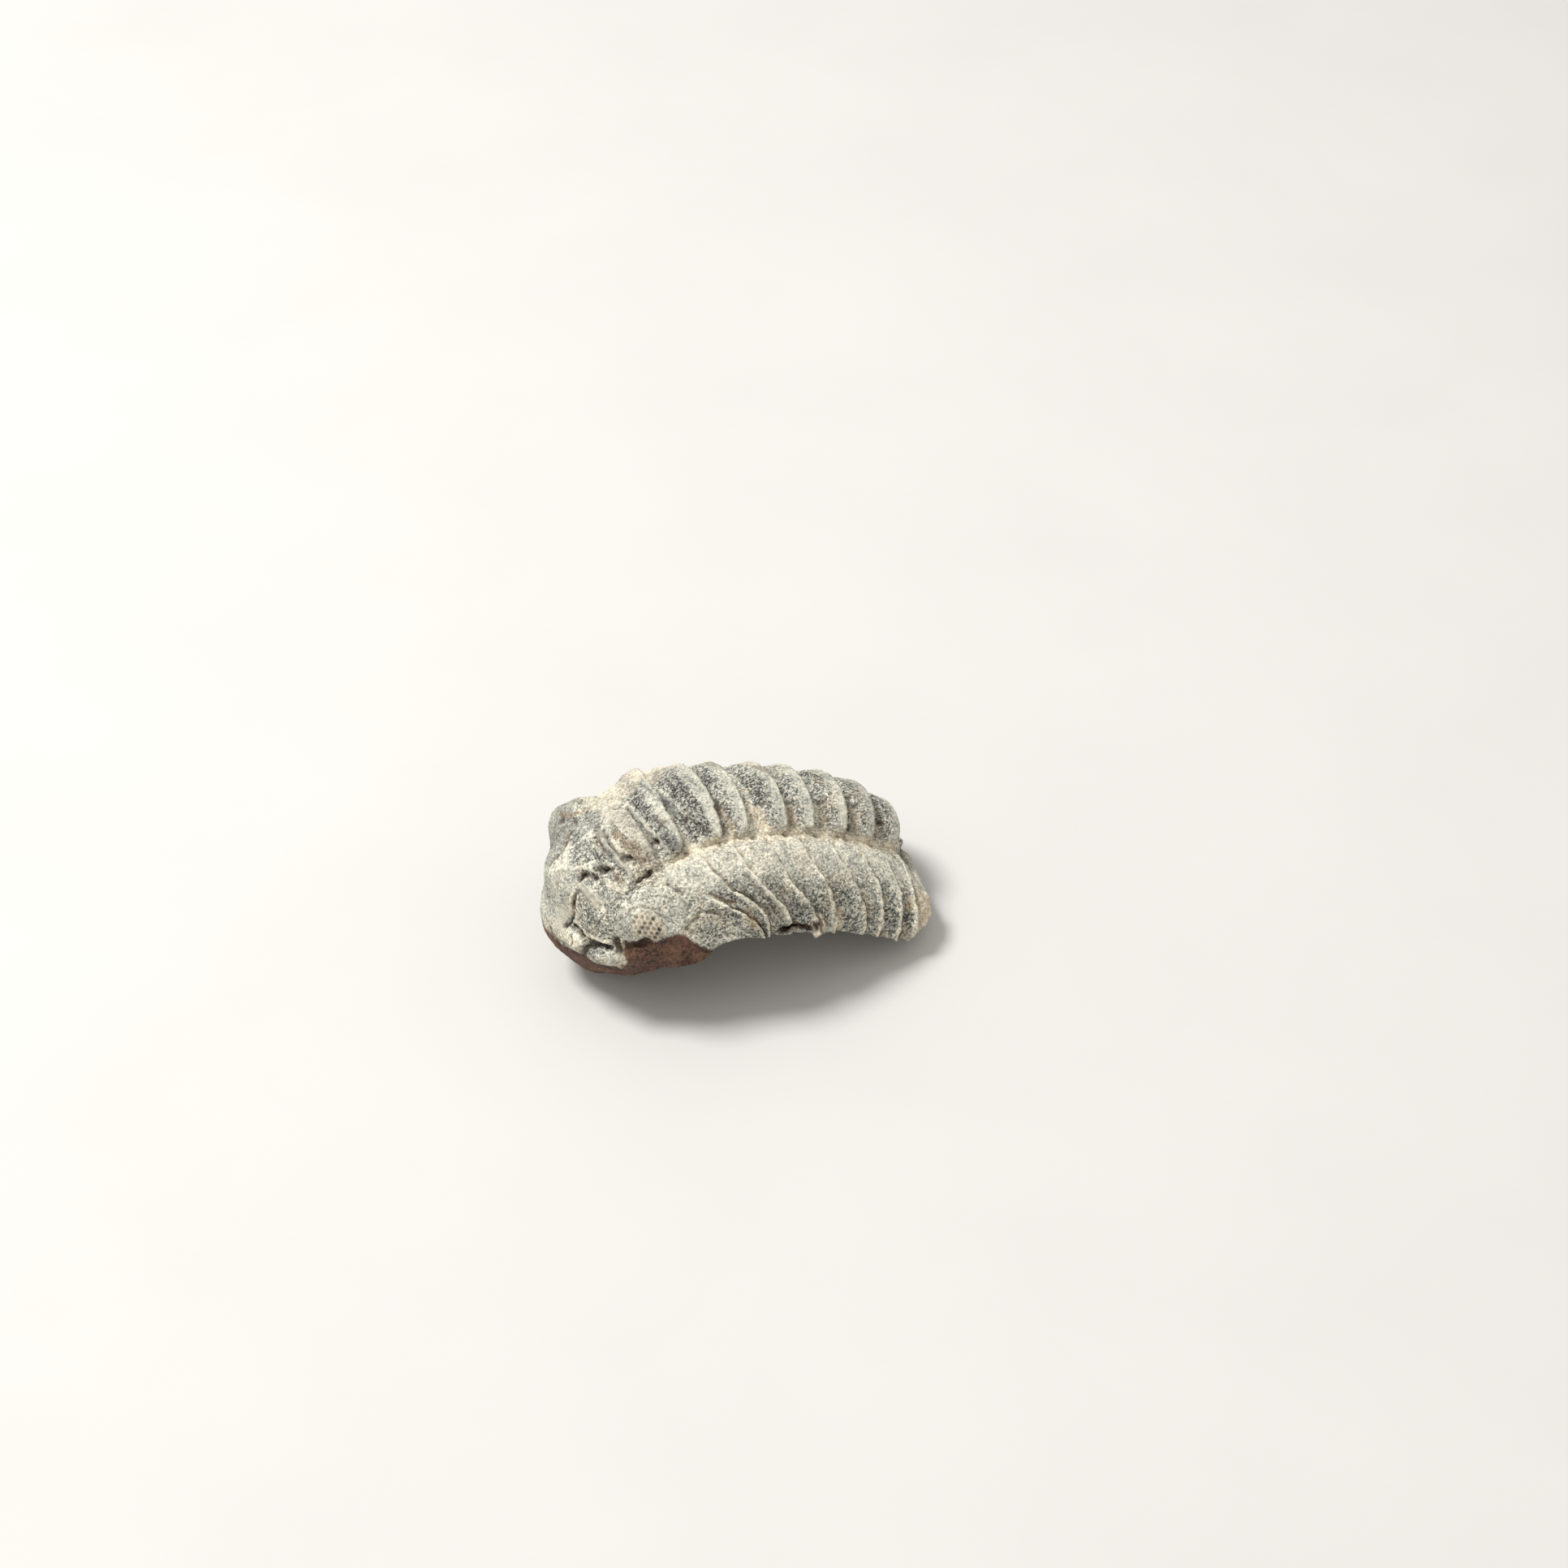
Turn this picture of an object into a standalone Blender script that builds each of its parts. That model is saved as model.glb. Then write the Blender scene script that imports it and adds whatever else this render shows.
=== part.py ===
"""Enrolled phacops trilobite, a loose fossil of dark limestone with rock still on its underside.

One solid. The body is a long dome that curls down at the head. Two numbers give a place on its skin. u, in
millimetres, runs along the back from the snout to the tail. q runs around the body: 0 on the midline of the
back, 0.30 in the furrow beside the axis, 0.66 at the margin and 1 on the midline of the belly. q is negative
on the near side, which is the side at -Y. The head is at -X, and the fossil rests on flat spots at z = 0.
"""

import math

import bmesh
import bpy
import numpy as np

NAME = "trilobite_fossil"
MM = 0.001
ROWS, COLUMNS = 84, 58

SNOUT, TAIL = -7.0, 24.0
Q_FURROW, Q_MARGIN = 0.30, 0.66
SKIN_PER_Q = 17.5  # millimetres of skin for one unit of q
LEAN = math.radians(76)  # how steep the side wall of the axis is
ROLL = math.radians(-9)  # the fossil lies a little on its far side
HEIGHT = 9.1  # spine above the ground in the middle of the body
HEAD_END = (-0.5, 3.5)  # the head's dome passes into the axis and its side plates between these

# Spine: u and its pitch in degrees
PITCH = ((-7, 120), (-4.5, 98), (-1, 62), (4, 17), (9, -14), (14, -25), (18, -35), (24, -42))
# Cross sections at these u, in millimetres
SECTION_AT = (-7, -6.2, -4.2, -1.8, 0, 4, 9, 14, 18, 21.5, 23.2, 24)
AXIS_HALF = (1.5, 3.2, 4.2, 4.2, 4.3, 4.35, 4.1, 3.8, 3.5, 2.7, 1.4, 0.4)
AXIS_RISE = (0.2, 0.8, 1.5, 1.8, 2.8, 2.1, 1.75, 1.85, 2.0, 1.5, 0.1, 0.1)
MARGIN_HALF = (1.6, 3.8, 6.0, 7.1, 7.3, 7.6, 8.3, 8.05, 7.8, 7.6, 6.0, 1.5)
MARGIN_DROP = (0.9, 2.0, 3.2, 4.5, 5.0, 4.7, 4.5, 4.4, 4.2, 3.8, 3.0, 1.0)
BELLY_DROP = (1.2, 2.9, 4.4, 4.9, 5.3, 5.0, 4.8, 4.6, 4.4, 4.1, 3.2, 1.0)

# Rings of the axis: u of the front furrow and of the raised rear edge
RINGS = (
    (1.34, 2.25), (2.55, 3.92), (4.1, 5.5), (6.05, 7.9), (8.2, 9.7),
    (10.7, 12.35), (12.85, 14.3), (15.1, 16.7), (17.15, 18.9), (19.5, 21.35),
)
RING_SKEW = 1.3  # the rings run a little forward on the near side
RING_HEIGHT = 0.72
# Rear edges of the side plates: u at these q, from the furrow out to the margin
RIB_Q = (0.30, 0.42, 0.50, 0.54, 0.58, 0.62, 0.66)
RIBS = (
    (3.9, 4.3, 5.1, 6.1, 7.5, 8.6, 9.3),
    (5.9, 6.1, 6.9, 8.1, 9.1, 9.5, 9.8),
    (8.1, 8.3, 9.1, 9.9, 10.8, 11.3, 11.6),
    (10.4, 10.7, 11.3, 12.15, 12.9, 13.5, 13.8),
    (12.7, 13.0, 13.9, 14.35, 14.9, 15.2, 15.5),
    (15.0, 15.3, 16.4, 17.0, 17.6, 18.0, 18.3),
    (17.3, 17.6, 18.5, 18.75, 19.0, 19.3, 19.5),
    (19.3, 19.6, 20.3, 20.45, 20.65, 20.9, 21.1),
    (20.9, 21.2, 21.5, 21.7, 21.85, 22.0, 22.2),
)
# Grooves and ridges of the head: (u, q) along the line, height, half width
LINES = (
    (((-0.3, -0.15), (-0.75, -0.14), (-1.3, -0.135), (-1.65, -0.125), (-1.95, -0.13)), -0.12, 0.14),
    (((0.15, -0.147), (0.3, -0.135), (0.45, -0.13), (0.65, -0.155), (0.72, -0.175)), -0.14, 0.12),
    (((0.55, -0.10), (0.95, -0.135), (1.02, -0.185), (1.2, -0.235)), 0.15, 0.2),
    (((-2.0, -0.12), (-2.15, -0.16), (-2.35, -0.215), (-2.45, -0.245), (-2.4, -0.29), (-2.15, -0.315)),
     -0.32, 0.17),
    (((-2.0, -0.325), (-2.2, -0.345), (-2.45, -0.375)), -0.5, 0.26),
    (((-1.45, -0.375), (-1.2, -0.40), (-1.15, -0.44)), -0.5, 0.3),
    (((-0.9, -0.45), (-0.5, -0.475), (0, -0.487), (0.8, -0.50), (1.5, -0.515)), 0.2, 0.22),
    (((1.95, -0.54), (3.2, -0.54), (4.0, -0.53), (4.8, -0.545), (5.4, -0.56)), -0.16, 0.15),
    (((2.25, -0.287), (2.5, -0.285), (2.75, -0.275)), -0.2, 0.14),
    (((3.2, -0.37), (3.45, -0.40), (3.55, -0.44)), -0.2, 0.2),
    (((0.0, -0.01), (0.4, -0.07), (0.75, -0.09), (1.15, -0.12)), 0.12, 0.18),
    (((1.95, -0.03), (1.95, -0.13), (2.0, -0.24)), 0.16, 0.18),
    (((-1.0, 0.12), (0.0, 0.13), (1.0, 0.12), (2.2, 0.09)), -0.35, 0.4),
)
# Lumps and hollows: (u, q) of the middle, half sizes in millimetres along and across, height
LUMPS = (
    ((-1.9, 0.02), (2.3, 2.4), 0.38),  # glabella
    ((-3.2, 0.04), (1.3, 2.0), 0.3),
    ((-2.85, -0.17), (0.62, 1.2), 0.42),  # rough lumps beside the snout
    ((-3.1, -0.31), (0.72, 1.15), 0.42),
    ((-3.6, -0.385), (0.36, 0.36), 0.2),
    ((-1.1, -0.235), (0.9, 1.3), 0.25),
    ((0.42, -0.21), (0.4, 1.1), 0.25),
    ((0.3, -0.42), (1.0, 1.2), 0.42),  # near eye
    ((2.0, 0.235), (1.5, 1.3), 0.85),  # far eye and the cheek behind it
    ((0.9, 0.27), (0.8, 0.9), 0.45),
    ((-0.6, 0.19), (0.9, 1.4), -0.75),
    ((-5.2, -0.32), (1.6, 3.4), -0.55),
    ((-2.2, -0.61), (1.6, 1.7), 0.35),  # broken face under the cheek
    ((3.5, 0.22), (0.75, 1.1), -0.5),  # gap behind the far eye
    ((5.0, 0.14), (1.1, 1.9), 0.45),  # rock on the far side behind the head
    ((11.8, -0.64), (1.5, 0.4), -0.6),  # hollow under the side plates
    ((13.9, -0.655), (0.6, 0.6), 0.45),
    ((22.9, -0.58), (1.2, 1.6), 0.55),  # tail
    ((23.2, -0.22), (1.3, 4.0), -1.0),
)
# Flat broken faces: (u, q) of the middle, half sizes in millimetres, depth of the cut
CUTS = (
    ((0.0, -0.59), (2.2, 1.9), 0.12), ((4.1, -0.60), (2.4, 1.2), 0.06), ((-3.6, -0.50), (2.0, 1.6), 0.15),
)
# Rock left on the underside, which the fossil stands on: x and y of the middle, half sizes, reach down
FEET = (((-5.6, 0.6), (2.0, 2.9), 4.6), ((8.6, 0.2), (2.4, 4.0), 1.5))

ROCK = (0.245, 0.245, 0.222, 1.0)
ROCK_ROUGHNESS = 0.9


def curve(x, xs, ys):
    """Smooth curve through the points that never overshoots them."""
    xs, ys = np.asarray(xs, float), np.asarray(ys, float)
    step, slope = np.diff(xs), np.diff(ys) / np.diff(xs)
    tangent = np.zeros(len(xs))
    left, right = 2 * step[1:] + step[:-1], step[1:] + 2 * step[:-1]
    same = slope[:-1] * slope[1:] > 0
    inner = np.zeros(len(slope) - 1)
    inner[same] = (left + right)[same] / (left[same] / slope[:-1][same] + right[same] / slope[1:][same])
    tangent[1:-1] = inner
    tangent[0], tangent[-1] = slope[0], slope[-1]
    x = np.clip(x, xs[0], xs[-1])
    i = np.clip(np.searchsorted(xs, x) - 1, 0, len(step) - 1)
    t = (x - xs[i]) / step[i]
    return (
        (2 * t**3 - 3 * t**2 + 1) * ys[i]
        + (t**3 - 2 * t**2 + t) * step[i] * tangent[i]
        + (3 * t**2 - 2 * t**3) * ys[i + 1]
        + (t**3 - t**2) * step[i] * tangent[i + 1]
    )


def soft(x, low, high):
    """0 below low, 1 above high, with a smooth passage."""
    t = np.clip((x - low) / (high - low), 0, 1)
    return t * t * (3 - 2 * t)


def spine():
    """u, pitch, x and z along the spine."""
    u = np.linspace(SNOUT - 1, TAIL + 1, 1201)
    pitch = np.radians(curve(u, *zip(*PITCH)))
    step = u[1] - u[0]
    x = np.concatenate([[0], np.cumsum((np.cos(pitch[1:]) + np.cos(pitch[:-1])) / 2 * step)])
    z = np.concatenate([[0], np.cumsum((np.sin(pitch[1:]) + np.sin(pitch[:-1])) / 2 * step)])
    middle = np.argmin(abs(u - 9))
    return u, pitch, x - x[middle], z - z[middle]


SPINE = spine()


def skin(u, q):
    """Position on the smooth body, before its rings and ribs."""
    sections = (AXIS_HALF, AXIS_RISE, MARGIN_HALF, MARGIN_DROP, BELLY_DROP)
    axis, rise, half, drop, belly = (curve(u, SECTION_AT, values) for values in sections)
    k = np.abs(q)
    lobe = np.clip(k / Q_FURROW, 0, 1) * LEAN
    side = np.clip((k - Q_FURROW) / (Q_MARGIN - Q_FURROW), 0, 1) * math.pi / 2
    under = np.clip((k - Q_MARGIN) / (1 - Q_MARGIN), 0, 1) * math.pi / 2
    lobe_y = axis * np.sin(lobe) / math.sin(LEAN)
    lobe_n = rise * (np.cos(lobe) - math.cos(LEAN)) / (1 - math.cos(LEAN))
    side_y = axis + (half - axis) * np.sin(side)
    y = np.where(k <= Q_FURROW, lobe_y, np.where(k <= Q_MARGIN, side_y, half * np.cos(under)))
    n = np.where(
        k <= Q_FURROW,
        lobe_n,
        np.where(k <= Q_MARGIN, -drop * (1 - np.cos(side)), -drop - (belly - drop) * np.sin(under)),
    )
    # The head has no furrow: it is one dome from side to side
    head = 1 - soft(u, *HEAD_END)
    dome = np.clip(k / Q_MARGIN, 0, 1) * math.pi / 2
    dome_y = np.where(k <= Q_MARGIN, half * np.sin(dome), y)
    dome_n = np.where(k <= Q_MARGIN, (rise + drop) * np.cos(dome) - drop, n)
    y = (y + (dome_y - y) * head) * np.sign(q)
    n = n + (dome_n - n) * head
    at, pitch, x, z = SPINE
    pitch = np.interp(u, at, pitch)
    x = np.interp(u, at, x) - n * np.sin(pitch)
    z = np.interp(u, at, z) + n * np.cos(pitch)
    return np.stack(
        [x, y * math.cos(ROLL) - z * math.sin(ROLL), y * math.sin(ROLL) + z * math.cos(ROLL) + HEIGHT], -1
    )


def outward(u, q):
    """Direction straight out of the smooth body."""
    e = 0.02
    along = skin(u + e, q) - skin(u - e, q)
    around = skin(u, np.minimum(q + e / SKIN_PER_Q, 1)) - skin(u, np.maximum(q - e / SKIN_PER_Q, -1))
    n = np.cross(along, around)
    return n / np.maximum(np.linalg.norm(n, axis=-1, keepdims=True), 1e-9)


def away(u, q, line):
    """Distance in millimetres from a line laid on the skin."""
    best = np.full(np.shape(u), 1e9)
    for (u0, q0), (u1, q1) in zip(line, line[1:]):
        du, dv = u1 - u0, (q1 - q0) * SKIN_PER_Q
        pu, pv = u - u0, (q - q0) * SKIN_PER_Q
        t = np.clip((pu * du + pv * dv) / (du * du + dv * dv), 0, 1)
        best = np.minimum(best, np.hypot(pu - t * du, pv - t * dv))
    return best


def mound(u, q, middle, size, power=2.6):
    """1 in the middle of an oval patch of the skin, falling to 0 around it."""
    r = ((u - middle[0]) / size[0]) ** 2 + ((q - middle[1]) * SKIN_PER_Q / size[1]) ** 2
    return np.exp(-(r ** (power / 2)))


def ring_relief(u, q):
    """Raised rings of the axis, each with a steep rear edge."""
    k = np.abs(q)
    s = u - RING_SKEW * q
    height = np.zeros(np.shape(u))
    for start, end in RINGS:
        length = end - start
        up = soft(s, start - 0.05, start + 0.42 * length)
        down = 1 - soft(s, end - 0.06, end + 0.16)
        height = np.maximum(height, up * down * (0.72 + 0.28 * soft(s, start + 0.2 * length, end)))
    side = 1 - soft(k, 0.25, 0.31)
    # Rock covers the far half of the first rings
    bare = 1 - soft(q, -0.05, 0.02) * (1 - soft(u, 4.0, 5.6))
    return (height * RING_HEIGHT - 0.38) * bare * side * soft(u, 0.9, 1.6) * (1 - soft(u, 21.4, 22.2))


def rib_relief(u, q):
    """Side plates, each rising to its rear edge and stepping down behind it."""
    k = np.abs(q)
    height = np.zeros(np.shape(u))
    edges = [np.interp(k, RIB_Q, values) for values in RIBS]
    edges = [edges[0] - 2.2, *edges, edges[-1] + 1.6]
    for front, rear in zip(edges, edges[1:]):
        t = (u - front) / (rear - front)
        rise = -0.24 * (1 - soft(t, 0.0, 0.42)) + 0.16 * soft(t, 0.45, 0.85)
        rise = rise + (-0.24 - rise) * soft(t, 0.93, 1.0)
        height = np.where((t > 0) & (t <= 1), rise, height)
    strength = soft(k, 0.31, 0.36) * (0.5 + 0.5 * soft(k, 0.42, 0.54)) * (1 - 0.6 * soft(k, 0.60, 0.66))
    strength = strength * (1 - soft(k, 0.68, 0.76))
    return height * strength * soft(u, 4.5, 6.5) * (1 - soft(u, 22.4, 23.4))


def relief(u, q):
    """Height over the smooth body in millimetres."""
    height = ring_relief(u, q) + rib_relief(u, q)
    for line, high, half in LINES:
        height = height + high * np.exp(-((away(u, q, line) / half) ** 2))
    for middle, size, high in LUMPS:
        height = height + high * mound(u, q, middle, size)
    return height


def broken(points, u, q):
    """Flat faces where the rock broke off."""
    for at, size, deep in CUTS:
        middle = skin(*np.array(at)[:, None])[0]
        n = outward(*np.array(at)[:, None])[0]
        reach = np.hypot((u - at[0]) / size[0], (q - at[1]) * SKIN_PER_Q / size[1])
        over = np.maximum((points - middle) @ n + deep, 0) * (1 - soft(reach, 0.85, 1.35))
        points = points - over[..., None] * n
    return points


def surface(u, q):
    """Finished surface in millimetres, standing on z = 0."""
    points = broken(skin(u, q) + outward(u, q) * relief(u, q)[..., None], u, q)
    for (x, y), (half_x, half_y), deep in FEET:
        r = ((points[..., 0] - x) / half_x) ** 2 + ((points[..., 1] - y) / half_y) ** 2
        points[..., 2] -= deep * np.exp(-(r**1.5)) * soft(np.abs(q), 0.62, 0.74)
    points[..., 2] = np.maximum(points[..., 2], 0)
    return points


def row_places():
    """Where the rows of points cross the midline: close together at the edges of the rings."""
    places = list(np.linspace(SNOUT, 1.15, 28))
    for start, end in RINGS:
        length = end - start
        places += [start + 0.04, start + 0.4 * length, start + 0.74 * length, end - 0.05, end + 0.16]
    places += list(np.linspace(21.95, TAIL, ROWS - 1 - len(places)))
    return np.array(places)


def column_places():
    """Where the columns of points run: close together on the near side, wide apart on the belly."""
    parts = (
        np.linspace(-1, -0.72, 4)[:-1], np.linspace(-0.69, -0.45, 13), np.linspace(-0.42, -0.345, 4),
        np.linspace(-0.325, -0.28, 4), np.linspace(-0.26, -0.11, 7), np.linspace(-0.08, 0.09, 6),
        np.linspace(0.125, 0.26, 5), np.linspace(0.285, 0.33, 3), np.linspace(0.37, 0.69, 9),
        np.linspace(0.76, 0.94, 4),
    )
    return np.concatenate(parts)


def laid(places, q):
    """u of the rows at one q: skewed on the axis, along the rear edges of the plates on the sides."""
    k = abs(q)
    skewed = places + RING_SKEW * q * soft(places, SNOUT, 0) * (1 - soft(places, 20.5, TAIL))
    ring_ends = [SNOUT, 0.0, *(end for _, end in RINGS[1:]), TAIL]
    rib_ends = [SNOUT, 0.0, *(float(np.interp(k, RIB_Q, values)) for values in RIBS), TAIL]
    ribbed = np.interp(places, ring_ends, rib_ends)
    ribbed = places + (ribbed - places) * float(1 - soft(np.array(k), 0.70, 0.95))
    return skewed + (ribbed - skewed) * float(soft(np.array(k), 0.26, 0.34))


def fossil_mesh():
    rows, columns = row_places(), column_places()
    u = np.stack([laid(rows, q) for q in columns], 1)
    q = np.broadcast_to(columns, u.shape)
    points = surface(u, q)
    low, high = points.min((0, 1)), points.max((0, 1))
    points -= (low + high) / 2 * [1, 1, 0]
    bm = bmesh.new()
    bmesh.ops.create_uvsphere(bm, u_segments=len(columns), v_segments=len(rows) + 1, radius=1)
    for vert in bm.verts:
        row = round(math.acos(max(-1, min(1, vert.co.z))) / math.pi * (len(rows) + 1))
        if row in (0, len(rows) + 1):
            ring = points[0] if row == 0 else points[-1]
            vert.co = ring.mean(0) * MM
        else:
            column = round(math.atan2(vert.co.y, vert.co.x) / (2 * math.pi) * len(columns)) % len(columns)
            vert.co = points[row - 1, column] * MM
    bmesh.ops.recalc_face_normals(bm, faces=bm.faces)
    mesh = bpy.data.meshes.new(NAME)
    bm.to_mesh(mesh)
    bm.free()
    return mesh


def rock_material():
    material = bpy.data.materials.new("dark_limestone")
    material.use_nodes = True
    shader = material.node_tree.nodes["Principled BSDF"]
    shader.inputs["Base Color"].default_value = ROCK
    shader.inputs["Roughness"].default_value = ROCK_ROUGHNESS
    shader.inputs["Metallic"].default_value = 0.0
    return material


def main():
    for old in list(bpy.data.objects):
        bpy.data.objects.remove(old)
    collection = bpy.data.collections.new("enrolled_phacops_trilobite")
    bpy.context.scene.collection.children.link(collection)
    fossil = bpy.data.objects.new(NAME, fossil_mesh())
    fossil.data.materials.append(rock_material())
    collection.objects.link(fossil)


main()
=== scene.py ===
"""Enrolled trilobite fossil in dark limestone, with its rock, on a pale studio floor.

Lengths in the tables are millimetres. A place on the fossil is (u, q): u runs along the back from
the snout to the tail, and q runs across it, 0 on the midline, 0.30 in the furrow beside the axis,
0.66 at the edge of the side plates and 1 under the belly. The near side has q below 0.
"""

import math

import bmesh
import bpy
import numpy as np
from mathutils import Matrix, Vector, noise


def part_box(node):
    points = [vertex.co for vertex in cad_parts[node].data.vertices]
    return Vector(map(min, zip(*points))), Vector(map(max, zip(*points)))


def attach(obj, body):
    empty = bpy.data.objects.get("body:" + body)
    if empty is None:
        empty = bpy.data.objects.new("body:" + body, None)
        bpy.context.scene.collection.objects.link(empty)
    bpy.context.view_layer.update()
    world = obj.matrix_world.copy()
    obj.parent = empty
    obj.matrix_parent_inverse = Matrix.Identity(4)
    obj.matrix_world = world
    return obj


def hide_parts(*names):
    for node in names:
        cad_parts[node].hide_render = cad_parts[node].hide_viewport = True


bl_info = {
    "name": "Enrolled trilobite fossil",
    "version": (1, 0, 0),
    "blender": (4, 5, 0),
    "location": "3D View > Sidebar > Fossil",
    "description": "Builds an enrolled trilobite fossil with its weathered rock and a studio stage",
    "category": "Object",
}

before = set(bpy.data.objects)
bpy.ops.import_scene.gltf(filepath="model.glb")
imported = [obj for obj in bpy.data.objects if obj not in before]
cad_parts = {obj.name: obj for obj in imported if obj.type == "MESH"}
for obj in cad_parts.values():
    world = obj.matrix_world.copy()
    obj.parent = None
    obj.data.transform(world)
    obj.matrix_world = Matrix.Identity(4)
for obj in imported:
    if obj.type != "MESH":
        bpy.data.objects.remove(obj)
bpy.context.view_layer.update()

MM = 0.001
NODE = "trilobite_fossil"
CENTRE = (0.639, -0.702, 0.0)  # middle of the body's box before it is centred

# Shape of the body

SNOUT, TAIL = -7.0, 24.0
MIDDLE = 9  # u in the middle of the back
Q_FURROW, Q_MARGIN = 0.30, 0.66
SKIN_PER_Q = 17.5  # millimetres of skin for one unit of q
LEAN = math.radians(76)  # how steep the side wall of the axis is
ROLL = math.radians(-9)  # the fossil lies a little on its far side
HEIGHT = 9.1  # spine above the ground in the middle of the body
HEAD_END = (-0.5, 3.5)  # the head's dome passes into the axis and its side plates between these

# Spine: u and its pitch in degrees
PITCH = ((-7, 120), (-4.5, 98), (-1, 62), (4, 17), (9, -14), (14, -25), (18, -35), (24, -42))
SPINE_POINTS = 1201
# Cross sections at these u, in millimetres
SECTION_AT = (-7, -6.2, -4.2, -1.8, 0, 4, 9, 14, 18, 21.5, 23.2, 24)
AXIS_HALF = (1.5, 3.2, 4.2, 4.2, 4.3, 4.35, 4.1, 3.8, 3.5, 2.7, 1.4, 0.4)
AXIS_RISE = (0.2, 0.8, 1.5, 1.8, 2.8, 2.1, 1.75, 1.85, 2.0, 1.5, 0.1, 0.1)
MARGIN_HALF = (1.6, 3.8, 6.0, 7.1, 7.3, 7.6, 8.3, 8.05, 7.8, 7.6, 6.0, 1.5)
MARGIN_DROP = (0.9, 2.0, 3.2, 4.5, 5.0, 4.7, 4.5, 4.4, 4.2, 3.8, 3.0, 1.0)
BELLY_DROP = (1.2, 2.9, 4.4, 4.9, 5.3, 5.0, 4.8, 4.6, 4.4, 4.1, 3.2, 1.0)

# Rings of the axis: u of the front furrow and of the raised rear edge
RINGS = (
    (1.34, 2.25), (2.55, 3.92), (4.1, 5.5), (6.05, 7.9), (8.2, 9.7),
    (10.7, 12.35), (12.85, 14.3), (15.1, 16.7), (17.15, 18.9), (19.5, 21.35),
)
RING_SKEW = 1.3  # the rings run a little forward on the near side
RING_HEIGHT = 0.72
RING_FLOOR = 0.38  # how deep the furrows between the rings lie under the smooth body
# Rear edges of the side plates: u at these q, from the furrow out to the margin
RIB_Q = (0.30, 0.42, 0.50, 0.54, 0.58, 0.62, 0.66)
RIBS = (
    (3.9, 4.3, 5.1, 6.1, 7.5, 8.6, 9.3),
    (5.9, 6.1, 6.9, 8.1, 9.1, 9.5, 9.8),
    (8.1, 8.3, 9.1, 9.9, 10.8, 11.3, 11.6),
    (10.4, 10.7, 11.3, 12.15, 12.9, 13.5, 13.8),
    (12.7, 13.0, 13.9, 14.35, 14.9, 15.2, 15.5),
    (15.0, 15.3, 16.4, 17.0, 17.6, 18.0, 18.3),
    (17.3, 17.6, 18.5, 18.75, 19.0, 19.3, 19.5),
    (19.3, 19.6, 20.3, 20.45, 20.65, 20.9, 21.1),
    (20.9, 21.2, 21.5, 21.7, 21.85, 22.0, 22.2),
)
RIB_SINK, RIB_CREST = 0.24, 0.16  # front of a side plate under the smooth body, rear edge over it
FIRST_PLATE, LAST_PLATE = 2.2, 1.6  # lengths before the first edge and behind the last one
# Grooves and ridges: (u, q) along the line, height, half width
LINES = (
    (((-0.28, -0.148), (-0.86, -0.136), (-1.5, -0.125), (-2.06, -0.11),
      (-2.41, -0.095)), -0.12, 0.13),
    (((0.29, -0.134), (0.42, -0.128), (0.59, -0.133), (0.8, -0.175)), -0.14, 0.12),
    (((0.55, -0.1), (0.95, -0.135), (1.02, -0.185), (1.2, -0.235)), 0.15, 0.2),
    (((-2.13, -0.127), (-2.26, -0.184), (-2.43, -0.23), (-2.33, -0.287),
      (-2.29, -0.313)), -0.32, 0.17),
    (((-3.5, -0.19), (-3.1, -0.205), (-2.6, -0.225)), -0.2, 0.2),
    (((-1.6, -0.325), (-2.1, -0.345), (-2.5, -0.365)), -0.3, 0.22),
    (((-1.6, -0.38), (-1.4, -0.41), (-0.65, -0.44)), -0.3, 0.24),
    (((-0.9, -0.465), (0, -0.487), (0.8, -0.5), (1.5, -0.52)), 0.2, 0.22),
    (((1.95, -0.54), (3.2, -0.54), (4, -0.53), (4.8, -0.545), (5.4, -0.56)), -0.16, 0.15),
    (((2.1, -0.28), (2.5, -0.285), (2.9, -0.278)), -0.2, 0.14),
    (((3.2, -0.37), (3.45, -0.4), (3.55, -0.44)), -0.2, 0.2),
    (((0, -0.03), (0.33, -0.067), (0.75, -0.11), (1.2, -0.121)), 0.12, 0.16),
    (((2.3, -0.03), (2.15, -0.1), (2, -0.24)), 0.16, 0.18),
    (((-1, 0.12), (0, 0.13), (1, 0.12), (2.2, 0.09)), -0.35, 0.4),
)
# Lumps and hollows: (u, q) of the middle, half sizes in millimetres along and across, height
LUMPS = (
    ((-1.9, 0.02), (2.3, 2.4), 0.38),  # glabella
    ((-3.2, 0.04), (1.3, 2.0), 0.3),
    ((-2.85, -0.17), (0.62, 1.2), 0.42),  # rough lumps beside the snout
    ((-3.1, -0.31), (0.72, 1.15), 0.42),
    ((-3.6, -0.385), (0.36, 0.36), 0.2),
    ((-1.1, -0.235), (0.9, 1.3), 0.25),  # cheek
    ((0.42, -0.21), (0.4, 1.1), 0.25),
    ((0.3, -0.42), (1.0, 1.2), 0.42),  # near eye
    ((2.0, 0.235), (1.5, 1.3), 0.85),  # rock over the far eye
    ((0.9, 0.27), (0.8, 0.9), 0.45),
    ((-0.6, 0.19), (0.9, 1.4), -0.75),  # hollow before it
    ((-5.2, -0.32), (1.6, 3.4), -0.55),
    ((-2.2, -0.61), (1.6, 1.7), 0.35),  # broken face under the cheek
    ((3.5, 0.22), (0.75, 1.1), -0.5),  # gap behind the far eye
    ((5.0, 0.14), (1.1, 1.9), 0.45),  # rock on the far side behind the head
    ((11.9, -0.66), (1.4, 0.34), -0.6),  # hollow under the side plates
    ((13.85, -0.645), (0.6, 0.6), 0.4),
    ((22.9, -0.58), (1.2, 1.6), 0.55),  # tail
    ((23.2, -0.22), (1.3, 4.0), -1.0),
)
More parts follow.
